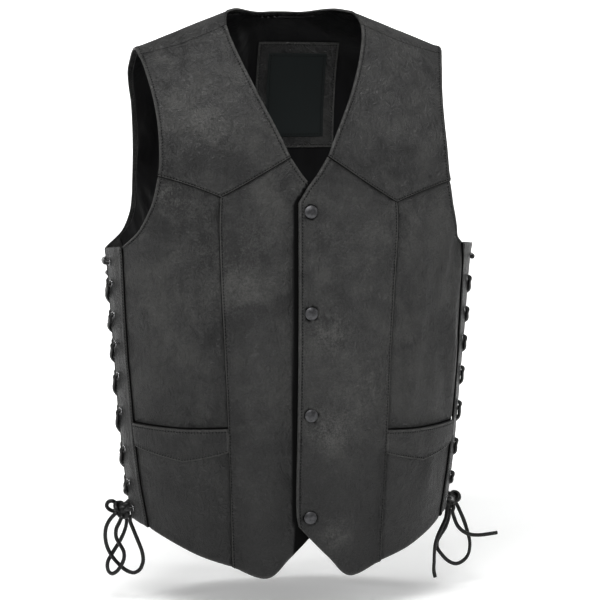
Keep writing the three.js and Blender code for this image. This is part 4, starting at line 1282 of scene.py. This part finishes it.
def stitch_tree(material):
    tree = tree_with_inputs("stitching", {key: value * MM for key, value in STITCH.items()})
    nodes, join = tree.nodes, tree.links.new
    start, end = nodes.new("NodeGroupInput"), nodes.new("NodeGroupOutput")
    line = nodes.new("GeometryNodeMeshToCurve")
    spaced = nodes.new("GeometryNodeResampleCurve")
    spaced.mode = "LENGTH"
    tangent = nodes.new("GeometryNodeInputTangent")
    turn = nodes.new("FunctionNodeAlignRotationToVector")
    turn.axis = "Z"
    bead = nodes.new("GeometryNodeMeshUVSphere")
    bead.inputs["Segments"].default_value = 6
    bead.inputs["Rings"].default_value = 5
    bead.inputs["Radius"].default_value = 0.5
    stretch = nodes.new("ShaderNodeCombineXYZ")
    shape = nodes.new("GeometryNodeTransform")
    place = nodes.new("GeometryNodeInstanceOnPoints")
    real = nodes.new("GeometryNodeRealizeInstances")
    dressed = nodes.new("GeometryNodeSetMaterial")
    dressed.inputs["Material"].default_value = material
    join(start.outputs["Geometry"], line.inputs["Mesh"])
    join(line.outputs["Curve"], spaced.inputs["Curve"])
    join(start.outputs["Pitch"], spaced.inputs["Length"])
    join(tangent.outputs[0], turn.inputs["Vector"])
    for axis, size in (("X", "Thickness"), ("Y", "Thickness"), ("Z", "Length")):
        join(start.outputs[size], stretch.inputs[axis])
    join(bead.outputs["Mesh"], shape.inputs["Geometry"])
    join(stretch.outputs[0], shape.inputs["Scale"])
    join(spaced.outputs["Curve"], place.inputs["Points"])
    join(shape.outputs["Geometry"], place.inputs["Instance"])
    join(turn.outputs["Rotation"], place.inputs["Rotation"])
    join(place.outputs["Instances"], real.inputs["Geometry"])
    join(real.outputs["Geometry"], dressed.inputs["Geometry"])
    join(dressed.outputs["Geometry"], end.inputs["Geometry"])
    return tree


def add_stitches():
    points = np.concatenate(stitch_rows) * MM
    starts = np.cumsum([0] + [len(row) for row in stitch_rows])
    pairs = [(i, i + 1) for low, high in zip(starts, starts[1:]) for i in range(low, high - 1)]
    mesh = bpy.data.meshes.new("stitches")
    mesh.from_pydata(points.tolist(), pairs, [])
    thing = link("stitches", mesh, THREAD)
    grow(thing, stitch_tree(THREAD), {key: value * MM for key, value in STITCH.items()})
    finish_piece(thing, "lace")


add_stitches()


# Eyelets: one tree sets a rolled ring with a short barrel on every point, turned to face outwards
EYELET = {"Ring": 3.35, "Roll": 0.72, "Barrel": 2.6, "Depth": 2.4}
EYELET_SEAT = 0.55


def eyelet_tree(material):
    tree = tree_with_inputs("eyelets", {key: value * MM for key, value in EYELET.items()})
    nodes, join = tree.nodes, tree.links.new
    start, end = nodes.new("NodeGroupInput"), nodes.new("NodeGroupOutput")
    facing = nodes.new("GeometryNodeInputNamedAttribute")
    facing.data_type = "FLOAT_VECTOR"
    facing.inputs["Name"].default_value = "facing"
    turn = nodes.new("FunctionNodeAlignRotationToVector")
    turn.axis = "Z"
    join(facing.outputs["Attribute"], turn.inputs["Vector"])
    rings = []
    for path_size, section_points, section_size in (("Ring", 10, "Roll"),):
        path, profile = (nodes.new("GeometryNodeCurvePrimitiveCircle") for _ in range(2))
        path.inputs["Resolution"].default_value = 28
        profile.inputs["Resolution"].default_value = section_points
        tube = nodes.new("GeometryNodeCurveToMesh")
        join(start.outputs[path_size], path.inputs["Radius"])
        join(start.outputs[section_size], profile.inputs["Radius"])
        join(path.outputs["Curve"], tube.inputs["Curve"])
        join(profile.outputs["Curve"], tube.inputs["Profile Curve"])
        rings.append(tube.outputs["Mesh"])
    barrel_path = nodes.new("GeometryNodeCurvePrimitiveCircle")
    barrel_path.inputs["Resolution"].default_value = 20
    barrel_profile = nodes.new("GeometryNodeCurvePrimitiveQuadrilateral")
    barrel_profile.inputs["Width"].default_value = 0.3 * MM
    barrel = nodes.new("GeometryNodeCurveToMesh")
    sunk = nodes.new("GeometryNodeTransform")
    sunk.inputs["Translation"].default_value = (0, 0, -1.2 * MM)
    join(start.outputs["Barrel"], barrel_path.inputs["Radius"])
    join(start.outputs["Depth"], barrel_profile.inputs["Height"])
    join(barrel_path.outputs["Curve"], barrel.inputs["Curve"])
    join(barrel_profile.outputs["Curve"], barrel.inputs["Profile Curve"])
    join(barrel.outputs["Mesh"], sunk.inputs["Geometry"])
    together = nodes.new("GeometryNodeJoinGeometry")
    for output in (*rings, sunk.outputs["Geometry"]):
        join(output, together.inputs["Geometry"])
    place = nodes.new("GeometryNodeInstanceOnPoints")
    real = nodes.new("GeometryNodeRealizeInstances")
    dressed = nodes.new("GeometryNodeSetMaterial")
    dressed.inputs["Material"].default_value = material
    join(start.outputs["Geometry"], place.inputs["Points"])
    join(together.outputs["Geometry"], place.inputs["Instance"])
    join(turn.outputs["Rotation"], place.inputs["Rotation"])
    join(place.outputs["Instances"], real.inputs["Geometry"])
    join(real.outputs["Geometry"], dressed.inputs["Geometry"])
    join(dressed.outputs["Geometry"], end.inputs["Geometry"])
    return tree


def add_eyelets():
    places = [on_side(place, side["sign"]) for side in FRONTS for z in EYELET_HEIGHTS
              for place in (front_eyelet(side, z), back_eyelet(z))]
    u, station = np.array(places).T
    mesh = bpy.data.meshes.new("eyelet_rings")
    mesh.from_pydata((on_vest(u, station, EYELET_SEAT) * MM).tolist(), [], [])
    facing = mesh.attributes.new("facing", "FLOAT_VECTOR", "POINT")
    facing.data.foreach_set("vector", normals_at(u, station).ravel())
    thing = link("eyelet_rings", mesh, EYELET_METAL)
    grow(thing, eyelet_tree(EYELET_METAL), {key: value * MM for key, value in EYELET.items()})
    thing.data.polygons.foreach_set("use_smooth", [True] * len(thing.data.polygons))
    sharp_rims(thing, 50)
    nodes = [f"eyelet_{name}_{i}" for name in ("right", "left") for i in range(1, len(EYELET_HEIGHTS) + 1)]
    finish_piece(thing, "eyelet_metal", *nodes)


add_eyelets()


# Snap caps: a spun dome on a short upright edge
def spun(name, profile, segments, place, material):
    """A closed turned piece that stands on the vest. The profile runs from the axis to the axis."""
    u, station, height = place
    turn = Vector((0, 0, 1)).rotation_difference(Vector(normals_at(u, station)))
    origin = Vector(on_vest(u, station, height))
    points, faces = [], []
    rings = profile[1:-1]
    for radius, up in rings:
        for i in range(segments):
            angle = 2 * math.pi * i / segments
            points.append(origin + turn @ Vector((radius * math.cos(angle), radius * math.sin(angle), up)))
    for ring in range(len(rings) - 1):
        for i in range(segments):
            j = (i + 1) % segments
            here, above = ring * segments, (ring + 1) * segments
            faces.append((here + i, here + j, above + j, above + i))
    for (_, up), ring in ((profile[0], 0), (profile[-1], len(rings) - 1)):
        pole = len(points)
        points.append(origin + turn @ Vector((0, 0, up)))
        for i in range(segments):
            j = (i + 1) % segments
            pair = (j, i) if ring == 0 else (i, j)
            faces.append((ring * segments + pair[0], ring * segments + pair[1], pole))
    return mesh_from(name, points, faces, material)


def add_caps():
    edge_turn = 2 * math.atan(SNAP_CROWN / SNAP_RADIUS)
    sphere = SNAP_RADIUS / math.sin(edge_turn)
    dome = [(sphere * math.sin(a), SNAP_DOME - sphere * (1 - math.cos(a)))
            for a in np.linspace(edge_turn, 0, 12)[:-1]]
    wall = [(SNAP_RADIUS - 0.5, 0), (SNAP_RADIUS, 0.12), (SNAP_RADIUS + 0.06, SNAP_DOME - SNAP_CROWN - 0.15)]
    profile = [(0, 0), *wall, *dome, (0, SNAP_DOME)]
    for i, z in enumerate(SNAP_HEIGHTS, 1):
        place = (*front(0, z), LAP_RISE + SNAP_SEAT)
        cap = spun(f"snap_cap_dome_{i}", profile, 48, place, SNAP_METAL)
        finish_piece(cap, "snap_metal", f"snap_cap_{i}")


add_caps()
for i in range(1, len(SNAP_HEIGHTS) + 1):
    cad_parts[f"snap_stud_{i}"].data.materials.clear()
    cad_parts[f"snap_stud_{i}"].data.materials.append(SNAP_METAL)


# Laces
LACE_OVER = 2.9
LACE_UNDER = -4.8
CROSSING = 2.6
CROSS_HEIGHT = -2.9
SLACK = 0.42
# The lace's points about an eyelet: millimetres towards the other row, down, and above the leather
BEFORE_EYELET = ((2.2, -0.6, LACE_UNDER - 0.4),)
AFTER_EYELET = ((1.4, 1.8, 3.9), (5.5, 7, 2.9))
INTO_FIRST = ((5.5, 0, 4.4), (1.8, 0, 4), (0, 0, 1), (0, 0, -2), (1.6, 1, LACE_UNDER - 0.4))
UP_THROUGH = ((0, 0, -1.8), (0, 0, 1))
OUT_OF_LAST = ((1.7, 0.6, 4), (6, 1.5, 5))
KNOTS = {"right": (204.5, 5, -597), "left": (207, 5, -601)}
KNOT_RADIUS = 9.5
KNOT_GAP = 0.35
LACE_TO_KNOT = 1.1
KNOT_SCALE = (3.4, 3.9, 3.2)
KNOT_CORE = 7.8
STRAND_HALF = (3.7, 3.1)
SHORTEST_CORD = 31
LACE_HALF = (2.8, 2.25)
SNUG_HALF = (2.2, 2.1)
BOW_HALF = (2.45, 1.8)
BOW_TWIST = 0.7
BOWS = {
    "right": {
        "loop_large": [(7.5, -5, -3), (16, -3, -11), (21, -1, -21), (22, 1, -35), (19, 3, -48), (14, 3, -58),
                       (7, 2, -67), (-3, 0, -76), (-12, -2, -79), (-19, -4, -75), (-23, -5, -65),
                       (-22, -5, -53), (-17, -4, -39), (-12, -3, -26), (-8, -3, -15), (-6, -3, -7.5)],
        "loop_small": [(6.5, 4, 5), (12, 5, 9), (17, 5, 8.5), (19.5, 5, 4), (17, 5, -0.5), (9, 4, -2.5)],
        "loop_long": [(3, -6, -8), (6, -8, -15), (10, -9, -23), (10, -9, -33), (6, -9, -41), (1, -9, -51),
                      (1, -9, -60), (5, -8.5, -69), (10, -6, -76), (15, -1.5, -79), (18.5, 4, -76),
                      (18.5, 8, -67), (13, 9.5, -57), (6, 9.5, -46), (0, 8.5, -35), (-4, 8, -24),
                      (-5, 7, -15), (-3, 5.5, -8)],
    },
    "left": {
        "loop_large": [(6, 3, -6), (12, 3, -16), (18, 3, -30), (22, 2, -43), (25, 1, -57), (23, 0, -71),
                       (17, 0, -79), (7, 0, -83), (-3, 0, -79), (-11, 0, -71), (-17, 1, -62), (-17, 2, -54),
                       (-13, 3, -47), (-6, 4, -37), (-1.5, 5, -26), (0, 5.5, -16), (0, 5, -9)],
        "end_1": [(1, -6, -7.5), (0, -8, -15), (2, -10, -24), (6, -11, -33), (13, -12, -40), (22, -12, -44),
                  (34, -13, -45), (56, -15, -42.5)],
        "end_2": [(-5, -4, -7.5), (-7, -6, -15), (-9, -7, -24), (-14, -7, -35), (-19, -7, -46),
                  (-22, -7, -57), (-23, -7, -68), (-23, -6, -79), (-23, -5, -89), (-21, -4, -98)],
    },
}


def by_knot(side, point):
    x, y, z = KNOTS[side["name"]]
    return np.array([side["sign"] * (x + point[0]), y + point[1], z + point[2]], float)


def half_lace(side, first_row):
    """From the middle of a side's lace, through one eyelet after the other, down to the knot. Each place is a
    point, the way that the lace's flat side faces, and its height above the leather. The rows of eyelets are
    0 at the front and 1 at the back."""
    places = []

    def edge(row, z):
        return BACK_TO_SIDE if row else -strip_at(side, "edge", z)

    def inward(row):
        return -1 if row else 1

    def hole(row, z):
        return edge(row, z) - EYELET_INSET * inward(row)

    def put(g, z, height):
        u, station = side["sign"] * (side_run(z) + g), level_at(z)
        places.append((on_vest(u, station, height), normals_at(u, station), (height, 0, 0)))

    def put_about(row, z, steps):
        for towards, down, height in steps:
            put(hole(row, z) + towards * inward(row), z - down, height)

    row, first = first_row, EYELET_HEIGHTS[0]
    put(edge(row, first), first, LACE_OVER + 0.6)
    put_about(row, first, INTO_FIRST)
    for i, (above, z) in enumerate(zip(EYELET_HEIGHTS, EYELET_HEIGHTS[1:])):
        far = 1 - row
        left = above + (z - above) * SLACK
        near, across = edge(row, left), edge(far, z)

        def height_at(g):
            return left + (z - left) * (g - near) / (hole(far, z) - near)

        lifted = CROSSING if (i + first_row) % 2 == 0 else -CROSSING
        middle = (near + across) / 2
        put(near + inward(row), left, LACE_UNDER if i == 0 else LACE_OVER)
        put(middle, height_at(middle), CROSS_HEIGHT + lifted)
        put(across, height_at(across), LACE_UNDER)
        row = far
        put_about(row, z, (*BEFORE_EYELET, *UP_THROUGH))
        if i < len(EYELET_HEIGHTS) - 2:
            put_about(row, z, AFTER_EYELET)
    put_about(row, EYELET_HEIGHTS[-1], OUT_OF_LAST)
    out = np.array([side["sign"], 0, 0], float)
    at_knot = by_knot(side, (0, -(KNOT_RADIUS + LACE_TO_KNOT) * inward(row), 1))
    places.append((at_knot, out, (LACE_OVER, 0, 0)))
    return places


def side_lace(side):
    first = EYELET_HEIGHTS[0]
    u = side["sign"] * (side_run(first) + (BACK_TO_SIDE - strip_at(side, "edge", first)) / 2)
    middle = (on_vest(u, level_at(first), LACE_OVER), normals_at(u, level_at(first)), (LACE_OVER, 0, 0))
    return np.array([*reversed(half_lace(side, 0)), middle, *half_lace(side, 1)])


def bow_route(side, points):
    def leave(point):
        direction = np.array(point, float) / np.linalg.norm(point)
        return [tuple(direction * reach) for reach in (KNOT_RADIUS + KNOT_GAP, KNOT_RADIUS + 3.5)]

    route = [*leave(points[0]), *points[1:]]
    if np.linalg.norm(points[-1]) < 2 * KNOT_RADIUS:
        route = [*route[:-1], *reversed(leave(points[-1]))]
    return [by_knot(side, point) for point in route]


def eased(points, per=5):
    """A smooth line through a route's points, by centripetal Catmull-Rom."""
    p = np.asarray(points, float)
    p = np.vstack([2 * p[0] - p[1], p, 2 * p[-1] - p[-2]])
    out = []
    for a, b, c, d in zip(p, p[1:], p[2:], p[3:]):
        before, here, after = (max(math.sqrt(np.linalg.norm(v)), 1e-4) for v in (b - a, c - b, d - c))
        leave = ((b - a) / before - (c - a) / (before + here) + (c - b) / here) * here
        arrive = ((c - b) / here - (d - b) / (here + after) + (d - c) / after) * here
        for t in np.arange(per) / per:
            cubic, square = 2 * b - 2 * c + leave + arrive, -3 * b + 3 * c - 2 * leave - arrive
            out.append(cubic * t ** 3 + square * t ** 2 + leave * t + b)
    return np.array([*out, p[-2]])


def unit(vectors):
    return vectors / np.linalg.norm(vectors, axis=-1, keepdims=True)


def lace_mesh(name, line, facing, halves):
    """A flat lace along a line. Facing is the way its flat side looks, and halves are its half width and half
    thickness, at each point."""
    ahead = unit(np.gradient(line, axis=0))
    across = np.cross(ahead, facing)
    sure = np.linalg.norm(across, axis=1) > 0.45
    across[0] = across[0] if sure[0] else np.cross(ahead[0], (0.3, 0.2, 0.9))
    for i in range(1, len(line)):
        wanted = across[i] if sure[i] else across[i - 1]
        wanted = wanted - ahead[i] * (wanted @ ahead[i])
        across[i] = unit(wanted) * (1 if wanted @ across[i - 1] >= 0 else -1)
    spread = np.ones(5) / 5
    padded = np.pad(across, ((2, 2), (0, 0)), mode="edge")
    across = unit(np.stack([np.convolve(padded[:, k], spread, "valid") for k in range(3)], axis=1))
    up = unit(np.cross(across, ahead))
    turns = np.linspace(0, 2 * math.pi, 12, endpoint=False)
    wide = np.sign(np.cos(turns)) * np.abs(np.cos(turns)) ** 0.85
    high = np.sign(np.sin(turns)) * np.abs(np.sin(turns)) ** 0.85
    rings = line[:, None] + across[:, None] * (halves[:, :1] * wide)[..., None]
    rings = rings + up[:, None] * (halves[:, 1:] * high)[..., None]
    count = len(turns)
    faces = []
    for here in range(0, (len(line) - 1) * count, count):
        faces += [(here + k, here + (k + 1) % count, here + count + (k + 1) % count, here + count + k)
                  for k in range(count)]
    faces += [tuple(range(count))[::-1], tuple((len(line) - 1) * count + k for k in range(count))]
    return mesh_from(name, rings.reshape(-1, 3), faces, LACE_LEATHER)


def add_knot(side):
    """A snug overhand knot, with a core that fills the space between its strands."""
    name = side["name"]
    turns = np.linspace(0, 2 * math.pi, 120)
    x = np.sin(turns) + 2 * np.sin(2 * turns)
    y = np.cos(turns) - 2 * np.cos(2 * turns)
    outward = np.stack([x, -np.sin(3 * turns), y], axis=1) * KNOT_SCALE
    strand = np.array([by_knot(side, point) for point in outward])
    knot = lace_mesh(f"bow_knot_{name}", strand, outward, np.tile(STRAND_HALF, (len(strand), 1)))
    shape = bmesh.new()
    shape.from_mesh(knot.data)
    centre = Matrix.Translation(Vector(by_knot(side, (0, 0, 0)) * MM))
    bmesh.ops.create_icosphere(shape, subdivisions=3, radius=KNOT_CORE * MM, matrix=centre)
    shape.to_mesh(knot.data)
    shape.free()
    knot.data.polygons.foreach_set("use_smooth", [True] * len(knot.data.polygons))
    finish_piece(knot, "lace", f"knot_{name}")
    return knot


def add_laces(side):
    name = side["name"]
    route = side_lace(side)
    line, facing = eased(route[:, 0], 4), eased(route[:, 1], 4)
    open_air = smooth(np.abs(eased(route[:, 2], 4)[:, 0]), 1.5, 3.5)[:, None]
    halves = np.array(SNUG_HALF) + (np.array(LACE_HALF) - SNUG_HALF) * open_air
    lace = lace_mesh(f"side_lace_{name}", line, facing, halves)
    finish_piece(lace, "lace", f"lace_{name}")
    with_pieces = [add_knot(side)]
    for part, points in sorted(BOWS[name].items(), key=lambda item: len(item[1])):
        line = eased(bow_route(side, points))
        run = np.concatenate([[0], np.cumsum(np.linalg.norm(np.diff(line, axis=0), axis=1))])
        twist = BOW_TWIST * np.sin(run / 17 + len(points))
        facing = np.stack([np.sin(twist), -np.cos(twist), 0.25 * np.cos(run / 23)], axis=1)
        bow = lace_mesh(f"bow_lace_{name}_{part}", line, facing, np.tile(BOW_HALF, (len(line), 1)))
        finish_piece(bow, "lace", f"bow_{name}_{part}")
        length = run[-1] * MM
        if length < SHORTEST_CORD * MM:
            with_pieces.append(bow)
            continue
        with_pieces = []


for front_side in FRONTS:
    add_laces(front_side)


# The studio: a pale floor that sweeps up behind, and wide soft lights
FLOOR_HEIGHT = -0.712
FLOOR_FRONT = -5.0
FLOOR_HALF_WIDTH = 6
FLOOR_GLOW = 0.2
SWEEP_FROM = 3.6
SWEEP_RADIUS = 1.0
SWEEP_TOP = 1.3


def add_studio():
    bend = [(SWEEP_FROM + SWEEP_RADIUS * math.sin(a), SWEEP_RADIUS * (1 - math.cos(a)))
            for a in np.linspace(0, math.pi / 2, 13)]
    profile = [(FLOOR_FRONT, 0), *bend, (SWEEP_FROM + SWEEP_RADIUS, SWEEP_TOP)]
    points = [(x, y, FLOOR_HEIGHT + z) for y, z in profile for x in (-FLOOR_HALF_WIDTH, FLOOR_HALF_WIDTH)]
    faces = [(2 * i, 2 * i + 1, 2 * i + 3, 2 * i + 2) for i in range(len(profile) - 1)]
    mesh = bpy.data.meshes.new("studio_floor")
    mesh.from_pydata(points, [], faces)
    mesh.polygons.foreach_set("use_smooth", [True] * len(faces))
    r = Recipe("pale_floor")
    away = Wire(r, r.node("ShaderNodeSeparateXYZ", {}, {0: r.place}).socket.node.outputs["Y"])
    behind = (away * 0.5).ramp((0.25, 0), (0.6, 1))
    glow = {"Emission Color": r.mix(behind, (FLOOR_GLOW,) * 3, (1, 1, 1)), "Emission Strength": 1}
    paper = r.finish(r.mix(r.noise(3), (0.93, 0.935, 0.93), (0.95, 0.955, 0.95)), 0.9, **glow)
    link("studio_floor", mesh, paper)


def area_light(name, place, aim, size, power):
    data = bpy.data.lights.new(name, "AREA")
    data.shape = "RECTANGLE"
    data.size, data.size_y = size
    data.energy = power
    lamp = bpy.data.objects.new(name, data)
    direction = Vector(aim) - Vector(place)
    lamp.matrix_world = Matrix.Translation(place) @ direction.to_track_quat("-Z", "Y").to_matrix().to_4x4()
    bpy.context.scene.collection.objects.link(lamp)


def set_world(strength):
    world = bpy.data.worlds.new("studio_air")
    world.use_nodes = True
    background = world.node_tree.nodes["Background"]
    background.inputs["Color"].default_value = (1, 1, 1, 1)
    background.inputs["Strength"].default_value = strength
    bpy.context.scene.world = world


add_studio()
set_world(0.19)
bpy.context.scene.view_settings.view_transform = "Standard"
area_light("key", (-0.6, -1.4, 1.3), (0, 0, -0.05), (1.2, 0.8), 41)
area_light("left_strip", (-1.9, -0.8, 0.8), (0, 0, -0.15), (0.35, 1.5), 12)
area_light("right_strip", (2.0, -0.8, 0.7), (0, 0, -0.2), (0.35, 1.5), 15)
area_light("top", (0.1, 0.1, 1.6), (0, 0, -0.3), (1.4, 1.0), 9)
area_light("backdrop_wash", (0, 0.55, 1.9), (0, 1.5, -0.3), (3.0, 0.6), 18)
